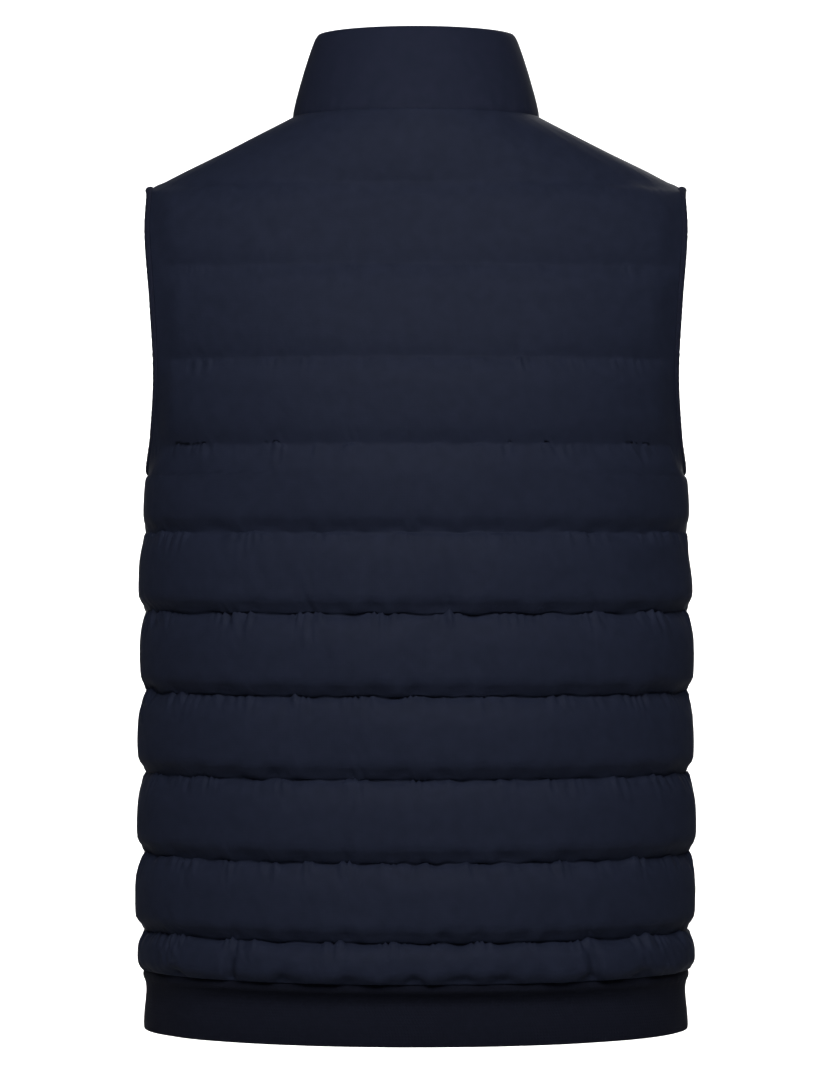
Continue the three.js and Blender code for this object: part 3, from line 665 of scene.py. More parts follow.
def even_rows(first):
    """Drops of the rows: the stitch lines, and between two of them rows that lie closer to the lines."""
    steps = np.arange(1, ROWS_A_CHANNEL + 1) / ROWS_A_CHANNEL
    bunched = 0.25 * steps + 0.75 * (1 - np.cos(math.pi * steps)) / 2
    rows = [np.array([first])]
    top = first
    for bottom in [*CHANNELS["drop"][:-1], BODY_DROP - SEAM_GAP / 2]:
        rows.append(top + bunched * (bottom - top))
        top = bottom
    return np.concatenate(rows)


def armhole_rows(rows):
    """Puts the armhole's own rows in the place of those that lie close to them."""
    crowded = np.abs(rows[:, None] - ARMHOLE_ROWS).min(axis=1) < LEAST_ROW_GAP
    kept = rows[~crowded | np.isin(rows, CHANNELS["drop"])]
    return np.sort(np.concatenate([kept, ARMHOLE_ROWS]))


def carried_over(moves, rows, new_rows):
    """The moves of a grid's rows, read at other rows of the same sheet."""
    columns = moves.reshape(len(rows), -1).T
    read = np.stack([np.interp(new_rows, rows, column) for column in columns], axis=-1)
    return read.reshape(len(new_rows), *moves.shape[1:])


print("rows", len(even_rows(0)))


# %% Refining the grid
def refine(grid):
    """Doubles a grid's rows and columns. A new point lies on the smooth curve through four old ones."""
    for axis in (0, 1):
        grid = np.moveaxis(grid, axis, 0)
        padded = np.concatenate([2 * grid[:1] - grid[1:2], grid, 2 * grid[-1:] - grid[-2:-1]])
        between = (9 * (padded[1:-2] + padded[2:-1]) - padded[:-3] - padded[3:]) / 16
        finer = np.empty((2 * len(grid) - 1, *grid.shape[1:]))
        finer[0::2] = grid
        finer[1::2] = between
        grid = np.moveaxis(finer, 0, axis)
    return grid


def soften_lines(grid, drop, from_edge):
    """Rounds off the valleys along the upper stitch lines, where the thin filling bridges the thread."""
    passes = 4
    soft = ((1 - smooth((drop - 170) / 190)) * smooth(from_edge / 25))[..., None]
    for _ in range(passes):
        level = grid.copy()
        level[1:-1] = (grid[:-2] + 2 * grid[1:-1] + grid[2:]) / 4
        grid = grid + (level - grid) * soft
    return grid


# %% [markdown]
# Along every line the shell is gathered into small pillows with a sharp notch between two of them, 5 to
# 12 mm apart, and wrinkles run out from the line up and down. The full channel above hangs over the line
# and the pillows below it climb up to it, which makes the scalloped shadow in the photograph. Each of
# these is a wave along the line that dies away with the distance from it.

# %% Gathers along the lines
# Two sizes of fold along a line, in millimetres. Each row of folds is shifted to and fro by its sway, in
# radians, about once in its spacing.
PILLOWS = {"width": 8.5, "sway": 2.6, "spacing": 34}
FLECKS = {"width": 5.5, "sway": 2, "spacing": 23}
# Places along the hem, in millimetres from the middle, where the last channel is drawn up into a notch.
HEM_TUCKS = table(
    "across height half_width",
    (179, 5, 6),
    (137, 3, 4),
    (99, 5.5, 7),
    (52, 4, 6),
    (1, 4.5, 8),
    (-34, 6, 8),
    (-62, 5.5, 9),
    (-130, 4.5, 6),
    (-168, 4, 8),
)


def bell(distance, width):
    return np.exp(-((distance / width) ** 2))


def folds(along, size, seed):
    """A row of rounded folds with a sharp notch between two of them."""
    sway = size["sway"] * waves(along, size["spacing"], seed)
    return np.abs(np.sin(math.pi * along / size["width"] + sway))


def gather(along, drop, across, seed):
    """Outward and upward moves, in millimetres, that gather the shell along every stitch line."""
    lift = np.zeros_like(drop)
    rise = np.zeros_like(drop)
    aside = (np.abs(across) / half_width_at(drop)) ** 4
    for i, line in enumerate([*CHANNELS["drop"][:-1], BODY_DROP]):
        full = fullness_at(line)
        strength = 0.25 + 0.85 * smooth((line - 90) / 150) + 0.55 * full
        below, above = np.maximum(drop - line, 0), np.maximum(line - drop, 0)
        key = seed + 11 * i
        amount = strength * np.clip(0.5 + 1.3 * waves(along, 52, key + 2) + 0.6 * aside, 0.05, 2.2)
        reach = 6 + 4 * np.clip(waves(along, 44, key + 3), -0.6, 1)
        under = (drop > line) * np.exp(-below / reach)
        over = (drop < line) * np.exp(-above / 6) * smooth(above / 3)

        # Rounded pillows just under the line, which climb up to it.
        pillows = folds(along, PILLOWS, key)
        lift += amount * (pillows - 0.45) * under * smooth(below / 2.2) * 1.6
        rise += amount * pillows * 1.9 * under * bell(below, 4.5)

        # Wrinkles that run out of the line, down and up.
        wrinkles = 1 - 2 * np.abs(waves(along + 0.5 * (drop - line), 17, key + 1)) ** 0.7
        lift += amount * wrinkles * 0.7 * np.exp(-below / (1.5 * reach)) * smooth(below / 4)
        lift += amount * wrinkles * 0.5 * np.exp(-above / (1.3 * reach)) * smooth(above / 4)

        # The smallest puckers, right at the thread.
        flecks = folds(along, FLECKS, key + 7)
        fleck = amount * (flecks - 0.5) * under * bell(below, 5) * smooth(below / 1.6)
        lift += 0.7 * fleck
        rise += 0.8 * fleck

        # The full cloth above hangs over the line, and its underside is turned in to the thread.
        sag = np.clip(0.35 + 0.7 * waves(along, 48, key + 4), 0, 1.3)
        rise -= 2.2 * full * sag * over
        lift += 0.8 * full * sag * bell(above - 10, 5)
        turned_in = bell(above - 5, 4) * (drop < line) * smooth(above / 2)
        lift -= full * (3.1 + 1.4 * waves(along, 40, key + 6)) * turned_in

        # The thin upper channels are fullest a little under their line.
        lift += 1.3 * (1 - smooth((line - 190) / 70)) * bell(below - 14, 11) * (drop > line)

        # The line itself isn't quite level, apart from the hem's seam.
        held = 1 if line < BODY_DROP else smooth(above / 5)
        rise += (0.5 + 0.4 * full) * waves(along, 32, key + 5) * held * bell(below + above, 10)
    return lift, rise


def hem_tucks(drop, across):
    """The moves that notch the last channel and let it hang over the band."""
    above = BODY_DROP - drop
    hanging = bell(above - 7, 5) * smooth(above / 3)
    lift, rise = 0.8 * hanging, -2.5 * hanging
    for middle, height, half_width in zip(*HEM_TUCKS.values()):
        notch = height * bell(across - middle, half_width) * bell(above - 3, 7) * smooth(above / 2)
        rise += 0.7 * notch
        lift -= 0.5 * notch
    return lift, rise


print("hem tucks", len(HEM_TUCKS["across"]))

# %% [markdown]
# A panel's grid follows its cut: the back reaches from side to side, and a front from the zip to the
# side. Near the edges the filling thins out, because the two layers meet there, and at an armhole none
# is left. The shell is laid out over the body first, with the cut's own puff in every channel.

# %% Layout of a panel
BACK_COLUMNS, FRONT_COLUMNS = 161, 81


def panel_layout(side_name, rows, columns):
    """Drops and angles of a panel's grid, and how far each point lies from its side and front edges."""
    side = SIDES[side_name]
    drop = rows[:, None] + np.zeros(columns)
    turn = turn_at(side, drop)
    if side_name == "back":
        share = np.linspace(-1, 1, columns)[None, :]
        return drop, share * turn, half_width_at(drop) * ROUND_THE_SIDE * (1 - np.abs(share)), None
    forward = np.clip(drop / FRONT_NECK_DROP, 0, 1) ** (1 / NECK_BOW)
    neckline = NECK_HALF_WIDTH * np.sqrt(np.maximum(0, 1 - forward**2))
    start = angle_across(side, drop, np.maximum(neckline, FRONT_OPENING / 2))
    share = np.linspace(0, 1, columns)[None, :]
    spread = (turn - start) / turn * half_width_at(drop) * ROUND_THE_SIDE
    return drop, start + share * (turn - start), spread * (1 - share), spread * share


def edge_shares(side, drop, to_side, to_front):
    """How much of the puff is left near the panel's edges: some at the side seam, none at an armhole."""
    at_armhole = smooth(armhole_depth_at(drop, side["armhole"]) / 12)
    at_shoulder = np.where(drop < SHOULDER_DROP, smooth((SHOULDER_DROP - drop) / 12), 1)
    at_side = 0.28 * (1 - at_armhole) * at_shoulder
    share = at_side + (1 - at_side) * smooth(to_side / 42)
    return share if to_front is None else np.minimum(share, 0.15 + 0.85 * smooth(to_front / 26))


def shell_form(side_name, rows, columns, wearer_side, seed):
    """The shell before it swells, with what the later steps read at each of its points."""
    side = SIDES[side_name]
    drop, angle, to_side, to_front = panel_layout(side_name, rows, columns)
    base = body_point(side, drop, angle)
    out = outward(side, drop, angle)
    edge = edge_shares(side, drop, to_side, to_front)
    index, share = channel_at(drop)
    slack = CHANNELS["slack"][index]
    along = arc_lengths(base[len(base) // 2][None], 1) + 0 * drop
    around = MEAN_RADIUS * np.arctan2(base[..., 0], np.abs(base[..., 1]))
    lift = puff(side_name, base[..., 0] * wearer_side, drop, edge)
    lift *= 1 + 0.2 * smooth((drop - 330) / 60)  # the lower channels are filled up more
    ripple = waves(around + 3 * drop, 16, seed) + 0.7 * waves(around - 2 * drop, 31, seed + 1)
    lift += edge * np.sin(math.pi * share) * (0.08 + 1.6 * slack) * ripple
    return SimpleNamespace(
        drop=drop,
        base=base,
        out=out,
        edge=edge,
        share=share,
        slack=slack,
        along=along,
        around=around,
        outer=base + out * np.maximum(lift, 0)[..., None],
        from_edge=to_side if to_front is None else np.minimum(to_side, to_front),
    )


print("back layout", panel_layout("back", even_rows(0.0), BACK_COLUMNS)[0].shape)

# %% [markdown]
# The panel is then made in four steps. The solver swells it, its grid is refined, the gathers are added
# along the lines, and an inner wall 4 mm behind it is bridged to its edges. The inner wall is the lining
# and bows inwards a little, since the filling pushes it too.

# %% Quilted panels
# The share that is kept of a move into the filling, which holds the shell up.
SINKING = 0.15
LINING_BOW = 1.2
# The fronts start just below the neck points, or their first row would be a single point.
FRONT_START = 2.5


def swelling(form, mirror):
    """How far each point of the form moves when the cloth solver fills it."""
    bm = bmesh.new()
    verts = grid_mesh(bm, *form.drop.shape)
    place(verts, form.outer * mirror)
    order = np.array([v.index for v in verts.ravel()])
    sheet = finish_mesh(bm, "unfilled_shell", SHELL)
    pins = np.zeros(form.drop.shape, bool)
    pins[np.isin(form.drop[:, 0], CHANNELS["drop"])] = True
    pins[[0, -1]] = True
    pins[:, [0, -1]] = True
    pinned, slack = np.zeros(pins.size, bool), np.zeros(pins.size)
    pinned[order], slack[order] = pins.ravel(), form.slack.ravel()
    solved = settle(sheet, pinned, slack)[order].reshape(form.outer.shape) * mirror
    bpy.data.objects.remove(sheet)
    moves = solved - form.outer
    sunk = np.minimum(np.sum(moves * form.out, axis=-1), 0)
    return moves - form.out * ((1 - SINKING) * sunk)[..., None]


def quilted_panel(name, side_name, columns, wearer_side, seed):
    """A closed panel with a gathered shell outside and a smooth lining inside."""
    mirror = np.array([wearer_side, 1, 1])
    rows = even_rows(0.0 if side_name == "back" else FRONT_START)
    moves = swelling(shell_form(side_name, rows, columns, wearer_side, seed), mirror)
    form = shell_form(side_name, armhole_rows(rows), columns, wearer_side, seed)
    solved = form.outer + carried_over(moves, rows, form.drop[:, 0])

    drop, along, edge = refine(form.drop), refine(form.along), refine(form.edge).clip(0, 1)
    from_edge = refine(form.from_edge)
    fine = soften_lines(refine(solved), drop, from_edge)
    across = refine(form.base)[..., 0] * wearer_side
    level = -fine[..., 2]
    lift, rise = np.add(gather(refine(form.around), level, across, seed + 60), hem_tucks(level, across))
    held = edge * smooth(from_edge / 9)
    fine += refine(form.out) * (lift * held)[..., None]
    fine[..., 2] += rise * held
    bow = LINING_BOW * np.sin(math.pi * form.share) * form.edge
    inner = form.base - form.out * (WALL + bow)[..., None]

    bm = bmesh.new()
    outer_verts = grid_mesh(bm, *drop.shape)
    place(outer_verts, fine * mirror)
    lay_uv(bm, outer_verts, along, drop)
    inner_verts = grid_mesh(bm, *form.drop.shape)
    place(inner_verts, inner * mirror)
    lay_uv(bm, inner_verts, form.along, form.drop)
    bmesh.ops.bridge_loops(bm, edges=[e for e in bm.edges if e.is_boundary])
    bmesh.ops.recalc_face_normals(bm, faces=bm.faces)
    panel = finish_mesh(bm, name, SHELL)
    most = float(np.linalg.norm(moves, axis=-1).max())
    print(name, drop.shape, "swelled by up to", round(most, 1), "mm")
    return panel


back = quilted_panel("back_quilting", "back", BACK_COLUMNS, 1, 100)
front_left = quilted_panel("front_left_quilting", "front", FRONT_COLUMNS, 1, 300)
front_right = quilted_panel("front_right_quilting", "front", FRONT_COLUMNS, -1, 500)
hand_over(back, "back_panel")
hand_over(front_left, "front_left")
hand_over(front_right, "front_right")

# %% [markdown]
# The collar, the band and the bindings are strips of folded cloth. Each is a row of sections: the
# outline of the folded strip, drawn as a few points and rounded off, is carried along the edge that the
# strip is sewn to. That is how a bent tube is made too, and it keeps the wall's thickness even.


# %% Strips of folded cloth
CORNER_CUTS = 2


def rounded(rows):
    """Cuts the corners of a closed outline until it is smooth, and adds its first point again."""
    values = np.stack([rows[name] for name in rows], axis=-1)
    for _ in range(CORNER_CUTS):
        ahead = np.roll(values, -1, axis=0)
        values = np.stack([0.75 * values + 0.25 * ahead, 0.25 * values + 0.75 * ahead], axis=1)
        values = values.reshape(-1, len(rows))
    values = np.concatenate([values, values[:1]])
    return {name: values[:, i] for i, name in enumerate(rows)}


def loft(name, points, material, ring=False):
    """A closed body through rings of points, one a section. A ring's last section meets its first."""
    if ring:
        points = np.concatenate([points, points[:1]])
    bm = bmesh.new()
    verts = grid_mesh(bm, *points.shape[:2])
    place(verts, points)
    lay_uv(bm, verts, arc_lengths(points, 0), arc_lengths(points, 1))
    bmesh.ops.remove_doubles(bm, verts=bm.verts, dist=1e-6)
    bmesh.ops.holes_fill(bm, edges=[e for e in bm.edges if e.is_boundary])
    bmesh.ops.recalc_face_normals(bm, faces=bm.faces)
    return finish_mesh(bm, name, material)


# %% [markdown]
# The collar stands up from the neck seam and leans in. It is a plain double layer of the shell's nylon
# with a soft filling, so it has no channels, only a slight roll over its foot and soft waves where it
# is sewn to the panels.

# %% Collar
COLLAR_COLUMNS = 110
COLLAR_GAP = 0.8
COLLAR_HEIGHT = 68
COLLAR_TOP = {"half_width": 79, "back": 50, "front": 94, "falls_from": 75, "front_drop": 11}
COLLAR_SECTION = table(
    "up inward",
    (-0.045, 1),
    (0.01, -0.8),
    (0.07, -1.3),
    (0.3, -1.6),
    (0.62, -1.4),
    (0.9, -0.4),
    (0.98, 1),
    (1, 2.6),
    (0.98, 3.6),
    (0.9, 4),
    (0.5, 4),
    (0.06, 4),
    (-0.045, 3.4),
)


def neck_edge(angle):
    """Points of the neck seam and the way out of the cloth, from the middle of the back to the zip."""
    forward = np.maximum(0, -np.cos(angle))
    drop = FRONT_NECK_DROP * forward**NECK_BOW
    across = np.maximum(NECK_HALF_WIDTH * np.sin(angle), FRONT_OPENING / 2)
    front_angle = angle_across(SIDES["front"], drop, across)
    ahead = (forward > 0)[:, None]
    level = 0 * drop
    front, back = SIDES["front"], SIDES["back"]
    point = np.where(ahead, body_point(front, drop, front_angle), body_point(back, level, angle))
    out = np.where(ahead, outward(front, drop, front_angle), outward(back, level, angle))
    return point, out


def collar_head(angle):
    """Points of the collar's upper edge, which falls towards the zip."""
    top = COLLAR_TOP
    fall = np.clip((np.degrees(angle) - top["falls_from"]) / (180 - top["falls_from"]), 0, 1)
    nearest = np.where(angle > math.pi / 2, FRONT_OPENING / 2, 0)
    middle, reach = (top["back"] - top["front"]) / 2, (top["back"] + top["front"]) / 2
    lowered = (COLLAR_HEIGHT + top["front_drop"]) * (1 - np.cos(math.pi * fall)) / 2
    across = np.maximum(top["half_width"] * np.sin(angle), nearest)
    return np.stack([across, middle + reach * np.cos(angle), COLLAR_HEIGHT - lowered], axis=-1)


def make_collar():
    angle = np.linspace(0, math.pi, COLLAR_COLUMNS)
    point, out = neck_edge(angle)
    tilt = 0.02
    ahead, behind = np.minimum(angle + tilt, math.pi), np.maximum(angle - tilt, 0)
    past = unit(np.cross(neck_edge(ahead)[0] - neck_edge(behind)[0], out))
    upward = 60 * past[:, 2] - past[:, 0] * point[:, 0] - past[:, 1] * point[:, 1]
    past *= np.where(upward < 0, -1, 1)[:, None]
    foot = point + past * COLLAR_GAP
    head = collar_head(angle)
    up = head - foot
    around = collar_head(angle + 0.01) - collar_head(angle - 0.01)
    around[angle > math.pi - 0.1, 0] = -1
    wall_in = unit(np.cross(around, up))
    from_middle = (head - [0, (COLLAR_TOP["back"] - COLLAR_TOP["front"]) / 2, 0])[:, :2]
    wall_in *= np.where(np.sum(wall_in[:, :2] * from_middle, axis=-1) > 0, -1, 1)[:, None]
    section = rounded(COLLAR_SECTION)
    share = smooth(section["up"] / 0.3)[None, :, None]
    inward = unit(-out[:, None] * (1 - share) + wall_in[:, None] * share)
    along = arc_lengths(foot[None], 1)[0][:, None]
    low = bell(section["up"], 0.12)[None]
    facing = (section["inward"] < 1)[None]
    soft = 0.7 * waves(along + 40 * section["up"][None], 60, 21) + 0.8 * low * waves(along, 10, 22)
    away = np.sin(math.pi * np.clip(section["up"], 0.02, 0.98))[None] ** 0.3
    depth = section["inward"][None] - facing * soft * away
    left = foot[:, None] + up[:, None] * section["up"][None, :, None] + inward * depth[..., None]
    right = left[1:][::-1] * np.array([-1, 1, 1])
    return loft("collar_cloth", np.concatenate([right, left]), COLLAR_CLOTH)


collar = hand_over(make_collar(), "collar")
print("collar", [round(v, 3) for v in collar.dimensions])

# %% [markdown]
# The hem band is a jersey strip folded double, longer than it is high and sewn on slightly tight. A thin
# roll follows the seam, the cloth falls in under the last channel and then comes out to the plain lower
# part. Small gathers start at the seam, because the strip is a little shorter than the panels' edge.

# %% Hem band
BAND_COLUMNS = 400
BAND_SECTION = table(
    "down out hollow",
    (-0.05, -1.2, 0),
    (0.02, 1.2, 0),
    (0.12, 1.2, 0.6),
    (0.2, -0.8, 4.5),
    (0.34, -1.6, 7),
    (0.5, -1.2, 4),
    (0.7, -0.3, 0.4),
    (0.95, 0, 0),
    (1, -0.9, 0),
    (1, -3.1, 0),
    (0.7, -4, 0.5),
    (0.35, -4.6, 6),
    (-0.05, -3.4, 0),
)


def make_band():
    turn = np.linspace(-math.pi, math.pi, BAND_COLUMNS)[:, None]
    section = rounded(BAND_SECTION)
    top = BODY_DROP + SEAM_GAP / 2
    drop = top + section["down"][None] * (HEM_DROP - top) + 0 * turn
    behind = np.abs(turn) <= math.pi / 2
    depth = np.where(behind, read_table(SECTIONS, "back", drop), read_table(SECTIONS, "front", drop))
    width = half_width_at(drop)
    end = np.arcsin(FRONT_OPENING / 2 / width)
    angle = np.clip(turn, end - math.pi, math.pi - end)
    along = angle * MEAN_RADIUS
    near_seam = bell(section["down"] - 0.12, 0.16)[None]
    soft = 0.35 * near_seam * waves(along, 9, 31)
    soft += 0.5 * waves(along + 30 * section["down"][None], 75, 32)
    hollow = section["hollow"][None] * smooth(np.cos(angle)) ** 1.5
    out = section["out"][None] - hollow + soft * smooth(section["down"] * 8)[None]
    normal = unit(np.stack([np.sin(angle) / width, np.cos(angle) / depth, 0 * drop], axis=-1))
    points = np.stack([width * np.sin(angle), depth * np.cos(angle), -drop], axis=-1)
    return loft("hem_band_jersey", points + normal * out[..., None], JERSEY)


band = hand_over(make_band(), "hem_band")
print("band", [round(v, 3) for v in band.dimensions])

# %% [markdown]
# Each armhole is bound with a folded elastic tape. It is sewn on stretched, so it draws the edge in and
# its own surface is crossed by fine gathers. It is one ring, from the shoulder down the back's edge and
# up the front's, so its first and last sections are the same.

# %% Armhole bindings
BINDING_POINTS = 150
BINDING_GAP = 0.6
# The gathers show from this reach on. Nearer the panel the stitching presses them flat.
BINDING_STITCHES = 0.8
# Half way through the folded tape. The gathers stand out from here on both faces.
BINDING_MIDDLE = 2
BINDING_SECTION = table(
    "reach out",
    (-1.6, -0.6),
    (1.2, 1.3),
    (4.2, 1),
    (5.8, -0.6),
    (6, -2.4),
    (4.2, -4.6),
    (1.2, -5),
    (-1.6, -3.4),
)


def armhole_edge(side, round_share):
    """Points of an armhole's edge and the way out of the cloth, from the shoulder to the armpit."""
    drop = ARMHOLE_MIDDLE - (ARMPIT_DROP - SHOULDER_DROP) / 2 * np.cos(math.pi * round_share)
    turn = turn_at(side, drop)
    return body_point(side, drop, turn), outward(side, drop, turn)


def make_binding(name, wearer_side):
    share = np.linspace(0, 1, BINDING_POINTS)
    behind, out_behind = armhole_edge(SIDES["back"], share)
    ahead, out_ahead = armhole_edge(SIDES["front"], share[1:-1][::-1])
    edge, out = np.concatenate([behind, ahead]), np.concatenate([out_behind, out_ahead])
    along = unit(np.roll(edge, -1, axis=0) - np.roll(edge, 1, axis=0))
    reach = unit(np.cross(along, out))
    middle = edge * [1, 0, 0] - [0, 0, ARMHOLE_MIDDLE]
    reach *= np.where(np.sum(reach * (middle - edge), axis=-1) < 0, -1, 1)[:, None]
    section = rounded(BINDING_SECTION)
    run = arc_lengths(edge[None], 1)[0][:, None]
    gathers = 0.22 * waves(run, 5.5, 41) * (section["reach"] > BINDING_STITCHES)[None]
    from_fold = np.sign(section["out"] + BINDING_MIDDLE)[None]
    points = (
        edge[:, None]
        + reach[:, None] * (section["reach"][None] + BINDING_GAP)[..., None]
        + out[:, None] * (section["out"][None] + gathers * from_fold)[..., None]
    )
    return loft(name, points * np.array([wearer_side, 1, 1]), BINDING, ring=True)


bindings = [
    hand_over(make_binding("binding_left", 1), "armhole_binding_left"),
    hand_over(make_binding("binding_right", -1), "armhole_binding_right"),
]
print("binding", [round(v, 3) for v in bindings[0].dimensions])

# %% [markdown]
# The zip lies behind the two front edges, which leave a 10 mm slot. Its tapes are woven strips, its
# teeth are moulded onto them one by one and interlock, and the slider's plates hold them together. The
# same line carries all of them: the depth of the fronts and of the collar down the middle.

# %% The zip's line
TAPE_WALL = 0.8
TAPE_FROM, TAPE_TO, TAPE_SET_BACK = 1, 11, 1
TAPE_BEHIND = WALL + SEAM_GAP + 0.45
TOOTH_DEPTH = 2.4
CHAIN_BEHIND = TAPE_BEHIND + (TAPE_WALL - TOOTH_DEPTH) / 2
ZIP_TOP, ZIP_BOTTOM = 14, HEM_DROP - 4
SLIDER_DROP, SLIDER_HEIGHT, SLIDER_HALF_WIDTH = 22, 12, 4.6
BOX_HEIGHT = 9
COLLAR_FALL = FRONT_NECK_DROP - COLLAR_TOP["front_drop"]
SLOPE_STEP = 8


def middle_depth(drop):
    """How far forward the outer face of the collar and the fronts lies on the middle line."""
    drop = np.asarray(drop, float)
    neck = float(read_table(SECTIONS, "front", np.float64(FRONT_NECK_DROP)))
    share = np.clip((drop - COLLAR_TOP["front_drop"]) / COLLAR_FALL, 0, 1)
    collar_face = COLLAR_TOP["front"] + (neck - COLLAR_TOP["front"]) * share
    return np.where(drop < FRONT_NECK_DROP, collar_face, read_table(SECTIONS, "front", drop))


def zip_slope(drop):
    return (middle_depth(drop + SLOPE_STEP) - middle_depth(drop)) / SLOPE_STEP


print("zip", ZIP_BOTTOM - ZIP_TOP, "mm long")

# %% [markdown]
# Each tape is a thin woven strip whose inner edge lies under the teeth and whose outer edge is sewn
# behind the front. It waves a little at its outer edge, as a tape does when the zip is done up.

# %% Tapes
TAPE_ROWS = 260
TAPE_SECTION = table("across behind", (0, 0), (0.5, 0), (1, 0), (1, 1), (0.5, 1), (0, 1))


def make_tape(name, wearer_side):
    drop = np.linspace(ZIP_TOP, ZIP_BOTTOM, TAPE_ROWS)[:, None]
    section = rounded(TAPE_SECTION)
    across = TAPE_FROM + (TAPE_TO - TAPE_FROM) * section["across"][None] + 0 * drop
    back = TAPE_BEHIND + TAPE_SET_BACK * section["across"][None] + TAPE_WALL * section["behind"][None]
    ripple = 0.15 * waves(drop, 14, 51) * section["across"][None]
    depth = -middle_depth(drop) + (back + ripple) * np.hypot(1, zip_slope(drop))
    points = np.stack([wearer_side * across, depth, -drop + 0 * across], axis=-1)
    return loft(name, points, TAPE)


tapes = [
    hand_over(make_tape("tape_left", 1), "zip_tape_left"),
    hand_over(make_tape("tape_right", -1), "zip_tape_right"),
]
print("tape", [round(v, 3) for v in tapes[0].dimensions])

# %% [markdown]
# A tooth is a small block with a wider head, so that the head of one sits between the heads of its two
# neighbours on the other side. One tooth is made and bevelled, and copies of it follow the line, turned
# to the left and to the right by turns.


# %% Teeth
def block(bm, size, centre):
    """Adds a box, in millimetres, and returns its vertices."""
    made = bmesh.ops.create_cube(bm, size=MM)["verts"]
    bmesh.ops.scale(bm, vec=size, verts=made)
    bmesh.ops.translate(bm, vec=Vector(centre) * MM, verts=made)
    return made


def soften(bm, width_mm, segments=2, edges=None):
    """Bevels the given edges, or all of them."""
    bmesh.ops.bevel(
        bm,
        geom=edges or bm.edges[:],
        offset=width_mm * MM,
        segments=segments,
        profile=0.5,
        affect="EDGES",
        clamp_overlap=True,
        material=-1,
    )


def absorb(bm, part):
    """Adds the shape of another bmesh, and frees that one."""
    spare = bpy.data.meshes.new("part")
    part.to_mesh(spare)
    part.free()
    bm.from_mesh(spare)
    bpy.data.meshes.remove(spare)


TOOTH_PITCH = 3.2
TOOTH_HEAD = {"size": (1.5, TOOTH_DEPTH, 1.45), "from_middle": 0.15, "neck": 0.72}
TOOTH_FOOT = {"size": (2.0, TOOTH_DEPTH * 0.86, 1.05), "from_middle": 1.9}


def tooth_form():
    """One tooth on its own: a foot that grips the tape and a wider head at the middle of the chain."""
    bm = bmesh.new()
    middle = TOOTH_HEAD["from_middle"]
    for vert in block(bm, TOOTH_HEAD["size"], (middle, 0, 0)):
        if vert.co.x > middle * MM:
            vert.co.z *= TOOTH_HEAD["neck"]
    soften(bm, 0.22)
    foot = bmesh.new()
    block(foot, TOOTH_FOOT["size"], (TOOTH_FOOT["from_middle"], 0, 0))
    soften(foot, 0.2, 1)
    absorb(bm, foot)
    return bm


def repeated(name, form, places, material):
    """One object that holds a copy of the form at each matrix in places."""
    single = bpy.data.meshes.new(name + "_form")
    form.to_mesh(single)
    form.free()
    bm = bmesh.new()
    for place_matrix in places:
        known = len(bm.verts)
        bm.from_mesh(single)
        bm.verts.ensure_lookup_table()
        bmesh.ops.transform(bm, matrix=place_matrix, verts=bm.verts[known:])
    bpy.data.meshes.remove(single)
    bmesh.ops.recalc_face_normals(bm, faces=bm.faces)
    return finish_mesh(bm, name, material)


def tooth_places():
    """Where each tooth stands, from just under the slider's wedge down to the end box."""
    first = SLIDER_DROP - SLIDER_HEIGHT / 2 + 4.5
    for i, drop in enumerate(np.arange(first, ZIP_BOTTOM - BOX_HEIGHT - 1, TOOTH_PITCH / 2)):
        slope = float(zip_slope(drop))
        level = math.hypot(1, slope)
        depth = -float(middle_depth(drop)) + (CHAIN_BEHIND + TOOTH_DEPTH / 2) * level
        lean = Matrix.Rotation(math.atan(slope), 4, "X")
        turned = Matrix.Rotation(0 if i % 2 else math.pi, 4, "Z")
        yield Matrix.Translation(Vector((0, depth, -drop)) * MM) @ lean @ turned


teeth = hand_over(repeated("zip_teeth", tooth_form(), list(tooth_places()), ACETAL), "zip_chain")
print("teeth", len(teeth.data.polygons), "faces")


# %% [markdown]
# The slider is cast in one piece: a front and a back plate that are wider at the top, a wedge between
# them that parts the teeth, and a bridge on two posts. Each is a bevelled block, and they overlap where
# they are cast together. The end box closes the foot of the zip.

# %% Slider and box
PLATE = 1.2
PLATE_BACK = CHAIN_BEHIND - SEAM_GAP
REAR_PLATE_FRONT = CHAIN_BEHIND + TOOTH_DEPTH + SEAM_GAP
PULL_ROOM = 0.35
PULL_THICKNESS = 1.2
PULL_AXIS = PLATE_BACK - PLATE - SEAM_GAP - PULL_ROOM - PULL_THICKNESS / 2
BRIDGE_FRONT = PULL_AXIS - PULL_THICKNESS / 2 - PULL_ROOM - SEAM_GAP - PLATE
BRIDGE = {"width": 2, "height": SLIDER_HEIGHT - 2, "post": 1.6}
WEDGE = 3


def slider_frame():
    """The slider leans with the collar's front edge, about a point on its outer face."""
    lean = math.atan((COLLAR_TOP["front"] - float(middle_depth(FRONT_NECK_DROP))) / COLLAR_FALL)
    place_at = Vector((0, -float(middle_depth(SLIDER_DROP)), -SLIDER_DROP)) * MM
    return Matrix.Translation(place_at) @ Matrix.Rotation(lean, 4, "X")


def joined(bm, parts):
    """Adds bevelled blocks, given as (size, centre, bevel, taper), to one bmesh."""
    for size, centre, bevel, taper in parts:
        part = bmesh.new()
        for vert in block(part, size, centre):
            if vert.co.z < centre[2] * MM:
                vert.co.x *= taper
        soften(part, bevel)
        absorb(bm, part)


